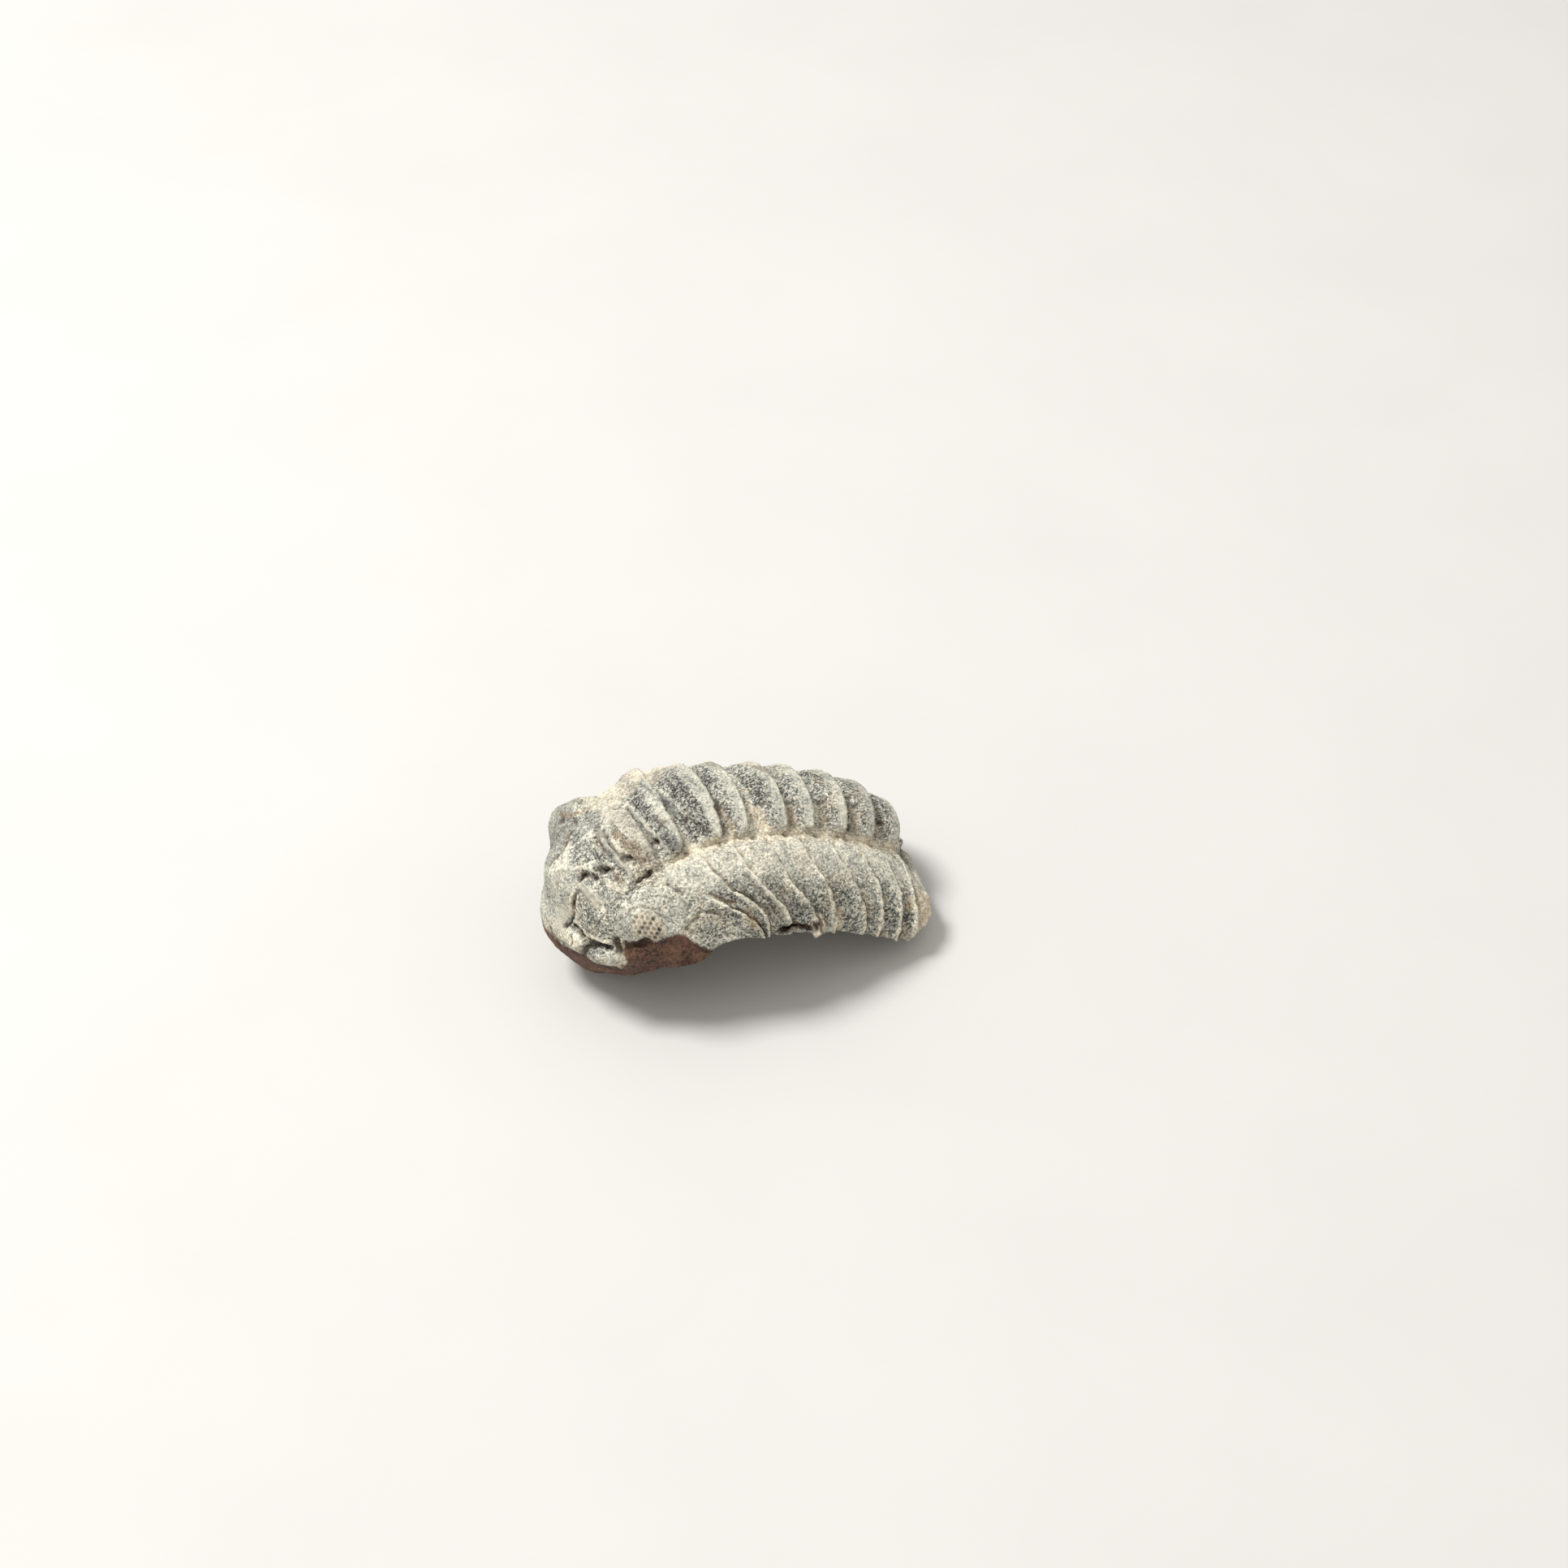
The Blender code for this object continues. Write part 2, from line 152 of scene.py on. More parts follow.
# Flat broken faces: (u, q) of the middle, half sizes in millimetres, depth of the cut
CUTS = (
    ((0.0, -0.59), (2.2, 1.9), 0.12),
    ((4.1, -0.60), (2.4, 1.2), 0.06),
    ((-3.6, -0.50), (2.0, 1.6), 0.15),
)
# Rock on the underside, which the fossil stands on: (x, y) of the middle, half sizes, reach down
FEET = (((-5.6, 0.6), (2.0, 2.9), 4.6), ((8.6, 0.2), (2.4, 4.0), 1.5))


def curve(x, xs, ys):
    """Smooth curve through the points that never overshoots them."""
    xs, ys = np.asarray(xs, float), np.asarray(ys, float)
    step, slope = np.diff(xs), np.diff(ys) / np.diff(xs)
    tangent = np.zeros(len(xs))
    left, right = 2 * step[1:] + step[:-1], step[1:] + 2 * step[:-1]
    same = slope[:-1] * slope[1:] > 0
    inner = np.zeros(len(slope) - 1)
    before, after = left[same] / slope[:-1][same], right[same] / slope[1:][same]
    inner[same] = (left + right)[same] / (before + after)
    tangent[1:-1] = inner
    tangent[0], tangent[-1] = slope[0], slope[-1]
    x = np.clip(x, xs[0], xs[-1])
    i = np.clip(np.searchsorted(xs, x) - 1, 0, len(step) - 1)
    t = (x - xs[i]) / step[i]
    return (
        (2 * t**3 - 3 * t**2 + 1) * ys[i]
        + (t**3 - 2 * t**2 + t) * step[i] * tangent[i]
        + (3 * t**2 - 2 * t**3) * ys[i + 1]
        + (t**3 - t**2) * step[i] * tangent[i + 1]
    )


def soft(x, low, high):
    """0 below low, 1 above high, with a smooth passage."""
    t = np.clip((x - low) / (high - low), 0, 1)
    return t * t * (3 - 2 * t)


def between(x, start, full, falling, end):
    """0 outside start and end, 1 from full to falling."""
    return soft(x, start, full) * (1 - soft(x, falling, end))


def bell(distance, width):
    """1 at distance 0, falling off over the width."""
    return np.exp(-((distance / width) ** 2))


def spine():
    """u, pitch, x and z along the spine."""
    u = np.linspace(SNOUT - 1, TAIL + 1, SPINE_POINTS)
    pitch = np.radians(curve(u, *zip(*PITCH)))
    step = u[1] - u[0]
    x = np.concatenate([[0], np.cumsum((np.cos(pitch[1:]) + np.cos(pitch[:-1])) / 2 * step)])
    z = np.concatenate([[0], np.cumsum((np.sin(pitch[1:]) + np.sin(pitch[:-1])) / 2 * step)])
    middle = np.argmin(abs(u - MIDDLE))
    return u, pitch, x - x[middle], z - z[middle]


SPINE = spine()


def skin(u, q):
    """Position on the smooth body, before its rings and side plates."""
    sections = (AXIS_HALF, AXIS_RISE, MARGIN_HALF, MARGIN_DROP, BELLY_DROP)
    axis, rise, half, drop, belly = (curve(u, SECTION_AT, values) for values in sections)
    k = np.abs(q)
    lobe = np.clip(k / Q_FURROW, 0, 1) * LEAN
    side = np.clip((k - Q_FURROW) / (Q_MARGIN - Q_FURROW), 0, 1) * math.pi / 2
    under = np.clip((k - Q_MARGIN) / (1 - Q_MARGIN), 0, 1) * math.pi / 2
    lobe_y = axis * np.sin(lobe) / math.sin(LEAN)
    lobe_n = rise * (np.cos(lobe) - math.cos(LEAN)) / (1 - math.cos(LEAN))
    side_y = axis + (half - axis) * np.sin(side)
    side_n = -drop * (1 - np.cos(side))
    under_n = -drop - (belly - drop) * np.sin(under)
    y = np.where(k <= Q_FURROW, lobe_y, np.where(k <= Q_MARGIN, side_y, half * np.cos(under)))
    n = np.where(k <= Q_FURROW, lobe_n, np.where(k <= Q_MARGIN, side_n, under_n))
    # The head has no furrow: it is one dome from side to side
    head = 1 - soft(u, *HEAD_END)
    dome = np.clip(k / Q_MARGIN, 0, 1) * math.pi / 2
    dome_y = np.where(k <= Q_MARGIN, half * np.sin(dome), y)
    dome_n = np.where(k <= Q_MARGIN, (rise + drop) * np.cos(dome) - drop, n)
    y = (y + (dome_y - y) * head) * np.sign(q)
    n = n + (dome_n - n) * head
    at, pitch, x, z = SPINE
    pitch = np.interp(u, at, pitch)
    x = np.interp(u, at, x) - n * np.sin(pitch)
    z = np.interp(u, at, z) + n * np.cos(pitch)
    rolled_y = y * math.cos(ROLL) - z * math.sin(ROLL)
    rolled_z = y * math.sin(ROLL) + z * math.cos(ROLL) + HEIGHT
    return np.stack([x, rolled_y, rolled_z], -1)


def outward(u, q):
    """Direction straight out of the smooth body."""
    e = 0.02
    along = skin(u + e, q) - skin(u - e, q)
    across = e / SKIN_PER_Q
    around = skin(u, np.minimum(q + across, 1)) - skin(u, np.maximum(q - across, -1))
    n = np.cross(along, around)
    return n / np.maximum(np.linalg.norm(n, axis=-1, keepdims=True), 1e-9)


def away(u, q, line):
    """Distance in millimetres from a line laid on the skin."""
    best = np.full(np.shape(u), 1e9)
    for (u0, q0), (u1, q1) in zip(line, line[1:]):
        du, dv = u1 - u0, (q1 - q0) * SKIN_PER_Q
        pu, pv = u - u0, (q - q0) * SKIN_PER_Q
        t = np.clip((pu * du + pv * dv) / (du * du + dv * dv), 0, 1)
        best = np.minimum(best, np.hypot(pu - t * du, pv - t * dv))
    return best


def mound(u, q, middle, size, power=2.6):
    """1 in the middle of an oval patch of the skin, falling to 0 around it."""
    r = ((u - middle[0]) / size[0]) ** 2 + ((q - middle[1]) * SKIN_PER_Q / size[1]) ** 2
    return np.exp(-(r ** (power / 2)))


def plate_edges(k):
    """u of each side plate's edge at |q| = k: the front of the first, then the rear of each."""
    edges = [np.interp(k, RIB_Q, values) for values in RIBS]
    return [edges[0] - FIRST_PLATE, *edges, edges[-1] + LAST_PLATE]


def ring_relief(u, q):
    """Raised rings of the axis, each with a steep rear edge."""
    k = np.abs(q)
    s = u - RING_SKEW * q
    height = np.zeros(np.shape(u))
    for start, end in RINGS:
        length = end - start
        raised = between(s, start - 0.05, start + 0.42 * length, end - 0.06, end + 0.16)
        height = np.maximum(height, raised * (0.72 + 0.28 * soft(s, start + 0.2 * length, end)))
    side = 1 - soft(k, 0.25, 0.31)
    # Rock covers the far half of the first rings
    bare = 1 - soft(q, -0.05, 0.02) * (1 - soft(u, 4.0, 5.6))
    return (height * RING_HEIGHT - RING_FLOOR) * bare * side * between(u, 0.9, 1.6, 21.4, 22.2)


def rib_relief(u, q):
    """Side plates, each rising to its rear edge and stepping down behind it."""
    k = np.abs(q)
    height = np.zeros(np.shape(u))
    edges = plate_edges(k)
    for front, rear in zip(edges, edges[1:]):
        t = (u - front) / (rear - front)
        rise = RIB_CREST * soft(t, 0.45, 0.85) - RIB_SINK * (1 - soft(t, 0.0, 0.42))
        rise = rise - (RIB_SINK + rise) * soft(t, 0.93, 1.0)
        height = np.where((t > 0) & (t <= 1), rise, height)
    strength = soft(k, 0.31, 0.36) * (0.65 + 0.35 * soft(k, 0.42, 0.54))
    strength = strength * (1 - 0.6 * soft(k, 0.60, 0.66)) * (1 - soft(k, 0.68, 0.76))
    return height * strength * between(u, 4.5, 6.5, 22.4, 23.4)


def relief(u, q):
    """Height over the smooth body in millimetres."""
    height = ring_relief(u, q) + rib_relief(u, q)
    for line, high, half in LINES:
        height = height + high * bell(away(u, q, line), half)
    for middle, size, high in LUMPS:
        height = height + high * mound(u, q, middle, size)
    return height


def broken(points, u, q):
    """Flat faces where the rock broke off."""
    for at, size, deep in CUTS:
        middle = skin(*np.array(at)[:, None])[0]
        n = outward(*np.array(at)[:, None])[0]
        reach = np.hypot((u - at[0]) / size[0], (q - at[1]) * SKIN_PER_Q / size[1])
        over = np.maximum((points - middle) @ n + deep, 0) * (1 - soft(reach, 0.85, 1.35))
        points = points - over[..., None] * n
    return points


def surface(u, q):
    """Finished surface in millimetres, standing on z = 0."""
    points = broken(skin(u, q) + outward(u, q) * relief(u, q)[..., None], u, q)
    for (x, y), (half_x, half_y), deep in FEET:
        r = ((points[..., 0] - x) / half_x) ** 2 + ((points[..., 1] - y) / half_y) ** 2
        points[..., 2] -= deep * np.exp(-(r**1.5)) * soft(np.abs(q), 0.62, 0.74)
    points[..., 2] = np.maximum(points[..., 2], 0)
    return points


def laid(places, q):
    """u of the rows at one q: skewed on the axis, along the edges of the plates on the sides."""
    k = abs(q)
    skewed = places + RING_SKEW * q * between(places, SNOUT, 0, 20.5, TAIL)
    ring_ends = [SNOUT, 0.0, *(end for _, end in RINGS[1:]), TAIL]
    rib_ends = [SNOUT, 0.0, *(float(np.interp(k, RIB_Q, values)) for values in RIBS), TAIL]
    ribbed = np.interp(places, ring_ends, rib_ends)
    ribbed = places + (ribbed - places) * float(1 - soft(np.array(k), 0.70, 0.95))
    return skewed + (ribbed - skewed) * float(soft(np.array(k), 0.26, 0.34))


# Fine relief and marks

# pale is dust and also painted highlight on crests and lips; dark is darker patches and also
# painted shade on ring fronts, plate hollows, rock sides and the belly; brown is brown sediment and
# also painted shade in pits, hollows and behind edges; black is painted shade deep in cracks, pits
# and holes; the broken-face layer is broken rock darkened with painted shade
LAYERS = ("pale", "dark", "ochre", "brown", "black", "smooth", "shaded_facet")
# Noises of the stone: size of the lumps, octaves, and the place where each is read
NOISES = {
    "stray u": (0.35, 2, 21.7), "stray q": (0.35, 2, 47.1), "ochre": (1.6, 3, 5.3),
    "pale": (1.9, 3, 71.9), "grain": (0.16, 2, 3.7), "crumb": (0.5, 3, 11.3),
}
STRAY, EDGE = 0.09, 0.1  # how far the marks stray, and the softness of an area's edge

# Areas: strengths of the layers, height, outline as (u, q)
AREAS = (
    # broken face under the head, its dark red-brown partly painted shade and painted warm reflected
    # light
    ({"shaded_facet": 1}, 0,
     ((-7, 0.14), (-3.1, 0.06), (-3.1, -0.02), (-3.6, -0.06), (-3.45, -0.15), (-3.7, -0.2),
      (-4.3, -0.24), (-4.5, -0.32), (-4.1, -0.37), (-3, -0.4), (-2.5, -0.372), (-2, -0.36),
      (-1.55, -0.37), (-1.5, -0.4), (-1.2, -0.425), (-0.6, -0.447), (-0.1, -0.48), (0.4, -0.5),
      (0.98, -0.516), (1.51, -0.546), (1.3, -0.587), (1.3, -0.617), (1.8, -0.638), (2.5, -0.655),
      (2.6, -0.75), (-7, -0.75))),
    # broken rock on the underside, near and far, darkened as painted shade
    ({"shaded_facet": 0.9}, 0, ((-7, -1), (-7, -0.75), (3, -0.76), (6, -0.86), (6.5, -1))),
    ({"shaded_facet": 0.9}, 0, ((-7, 1), (-7, 0.8), (3, 0.84), (6, 0.9), (6.5, 1))),
    # worn front of the head
    ({"smooth": 0.6}, 0,
     ((-0.2, 0.1), (0.1, -0.02), (0.4, -0.07), (0.35, -0.12), (-0.3, -0.13), (-1, -0.115),
      (-1.9, -0.105), (-2.6, -0.08), (-3.4, -0.02), (-3, 0.1))),
    ({"pale": 0.3, "brown": 0.15, "smooth": 1}, 0,
     ((-1.75, -0.043), (-1.21, -0.09), (-1.27, -0.115), (-1.85, -0.105), (-2.45, -0.08),
      (-2.97, -0.11), (-2.72, -0.061), (-2.27, -0.038))),
    # speckled patch on the head, and the dull ground of the cheek
    ({"dark": 0.7}, -0.04,
     ((0.45, -0.067), (0.92, -0.017), (1.35, -0.012), (1.83, -0.05), (2.1, -0.06), (1.95, -0.103),
      (1.73, -0.149), (1.54, -0.137), (1.21, -0.111), (0.9, -0.105), (0.7, -0.1))),
    ({"dark": 0.4}, 0,
     ((-0.4, -0.165), (-0.5, -0.25), (-1, -0.29), (-1.8, -0.28), (-1.95, -0.2), (-1.5, -0.16))),
    # side of the rock over the far eye, darkened as painted shade
    ({"dark": 0.5, "smooth": 0.8}, 0,
     ((-0.2, 0.03), (0.34, 0.02), (0.77, 0.03), (1.35, 0.07), (1.79, 0.145), (2.3, 0.19),
      (2.6, 0.25), (2.7, 0.36), (-0.6, 0.36), (-0.8, 0.14))),
    ({"dark": 0.65, "smooth": 0.5}, -0.03,
     ((0.9, 0), (1.33, 0.05), (1.85, 0.125), (2.6, 0.12), (3, 0.06), (2.86, 0), (2.3, -0.02),
      (1.4, -0.01))),
    # hollow behind the glabella, and two hollows under the cheek, darkened with brown and black as
    # painted shade
    ({"brown": 0.9, "ochre": 0.3}, -0.12,
     ((1.35, -0.2), (1.5, -0.227), (1.42, -0.255), (1.2, -0.24))),
    ({"brown": 1, "black": 0.35}, -0.14,
     ((-1.71, -0.311), (-1.41, -0.332), (-1.55, -0.343), (-2.2, -0.362), (-2.6, -0.366),
      (-2.3, -0.334))),
    ({"brown": 1, "black": 0.4}, -0.15,
     ((-1.52, -0.352), (-1.35, -0.362), (-1.7, -0.38), (-1.92, -0.396), (-2.4, -0.393),
      (-2, -0.372))),
    # brown sediment, then the smooth lip behind it
    ({"brown": 0.5, "ochre": 0.3, "dark": 0.4}, -0.05,
     ((2.55, -0.05), (2.9, -0.06), (2.98, -0.141), (3.2, -0.168), (3.4, -0.208), (3.25, -0.243),
      (2.75, -0.24), (2.65, -0.187), (2.6, -0.12))),
    ({"dark": 0.2, "ochre": 0.15, "smooth": 0.8}, 0.04,
     ((2.7, 0.06), (3.75, 0.03), (3.82, -0.05), (3.85, -0.1), (3.88, -0.15), (3.85, -0.22),
      (3.4, -0.24), (3.2, -0.18), (3.1, -0.1))),
    # dark fronts of the first rings, painted shade, between their paler rear halves
    ({"dark": 0.95}, 0,
     ((4.3, 0.02), (4.7, 0.04), (4.75, -0.1), (4.84, -0.166), (5.06, -0.223), (5.2, -0.275),
      (4.5, -0.285), (4.3, -0.21), (4.26, -0.1))),
    ({"pale": 0.1, "smooth": 0.8}, 0.04,
     ((4.85, 0.05), (5.4, 0.07), (5.45, -0.02), (5.45, -0.12), (5.65, -0.2), (5.75, -0.26),
      (5.2, -0.24), (4.95, -0.14), (4.88, -0.05))),
    ({"dark": 0.9, "smooth": 1}, -0.03,
     ((5.62, 0.04), (5.95, 0.03), (6, -0.05), (6, -0.12), (5.75, -0.13), (5.6, -0.06))),
    ({"dark": 0.85}, 0,
     ((6.2, 0.05), (7, 0.08), (7.05, -0.05), (7.1, -0.15), (7.05, -0.26), (6.5, -0.27), (6.3, -0.2),
      (6.2, -0.1))),
    ({"pale": 0.15, "smooth": 0.6}, 0.02,
     ((7.1, 0.06), (8, 0.1), (8.05, 0), (8, -0.1), (7.9, -0.25), (7.3, -0.27), (7.15, -0.1))),
    # brown skin left on two ring crests
    ({"brown": 0.6, "smooth": 0.6}, 0,
     ((9.1, 0.2), (9.7, 0.16), (9.95, 0.06), (9.7, 0.03), (9.4, 0.1))),
    ({"brown": 0.6, "smooth": 0.6}, 0,
     ((11.7, 0.11), (12.3, 0.08), (12.45, 0), (12.35, -0.04), (12.1, 0.01), (11.9, 0.06))),
    # sediment between the rings
    ({"ochre": 0.4, "brown": 0.25, "pale": 0.4}, -0.04,
     ((8.05, -0.12), (8.3, -0.13), (8.6, -0.28), (8.1, -0.29))),
    ({"ochre": 0.45, "pale": 0.7}, 0,
     ((10.15, -0.1), (10.8, -0.16), (10.95, -0.28), (10.3, -0.29), (10.15, -0.2))),
    ({"ochre": 0.5, "pale": 0.7}, 0,
     ((12.6, -0.1), (12.9, -0.16), (13, -0.28), (12.5, -0.29), (12.5, -0.18))),
    ({"ochre": 0.35, "pale": 0.6}, 0,
     ((14.65, -0.12), (15.1, -0.14), (15.2, -0.28), (14.7, -0.28))),
    ({"ochre": 0.35, "pale": 0.5}, 0, ((17.15, -0.12), (17.5, -0.14), (17.5, -0.28), (17, -0.28))),
    ({"ochre": 0.3, "pale": 0.4}, 0, ((19.2, -0.14), (19.6, -0.2), (19.6, -0.3), (19, -0.28))),
    # rough face, hollow darkened with brown and black as painted shade, sediment and tail along the
    # lower edge
    ({"dark": 0.1}, 0,
     ((2.9, -0.645), (2.2, -0.56), (3, -0.545), (5, -0.545), (6.2, -0.6), (6.3, -0.66),
      (4, -0.67))),
    ({"brown": 0.9, "black": 0.3}, -0.12,
     ((10.4, -0.648), (10.6, -0.632), (11.1, -0.638), (11.56, -0.618), (12.1, -0.634),
      (12.7, -0.638), (13.1, -0.645), (13.3, -0.665), (12.9, -0.68), (10.6, -0.68))),
    ({"black": 1}, -0.2,
     ((10.7, -0.652), (11.3, -0.646), (12, -0.658), (12.1, -0.673), (10.8, -0.673))),
    ({"black": 0.7, "brown": 1}, -0.2,
     ((13.05, -0.626), (13.5, -0.618), (13.68, -0.638), (13.45, -0.656), (13.2, -0.648))),
    ({"ochre": 0.6, "pale": 0.6}, 0,
     ((14.95, -0.575), (15.4, -0.575), (15.9, -0.62), (15.9, -0.665), (15.2, -0.665),
      (15.1, -0.62))),
    ({"pale": 0.9, "ochre": 0.55}, 0.03,
     ((21.8, -0.45), (22.8, -0.5), (23.4, -0.6), (22, -0.68), (21.9, -0.55))),
    # rock on the far side of the back
    ({"pale": 0.4, "ochre": 0.25, "smooth": 0.45}, 0.03,
     ((2.6, 0.1), (3.5, 0.03), (5.2, 0.05), (6.5, 0.12), (8.5, 0.14), (9.5, 0.3), (8.5, 0.46),
      (3, 0.46))),
)
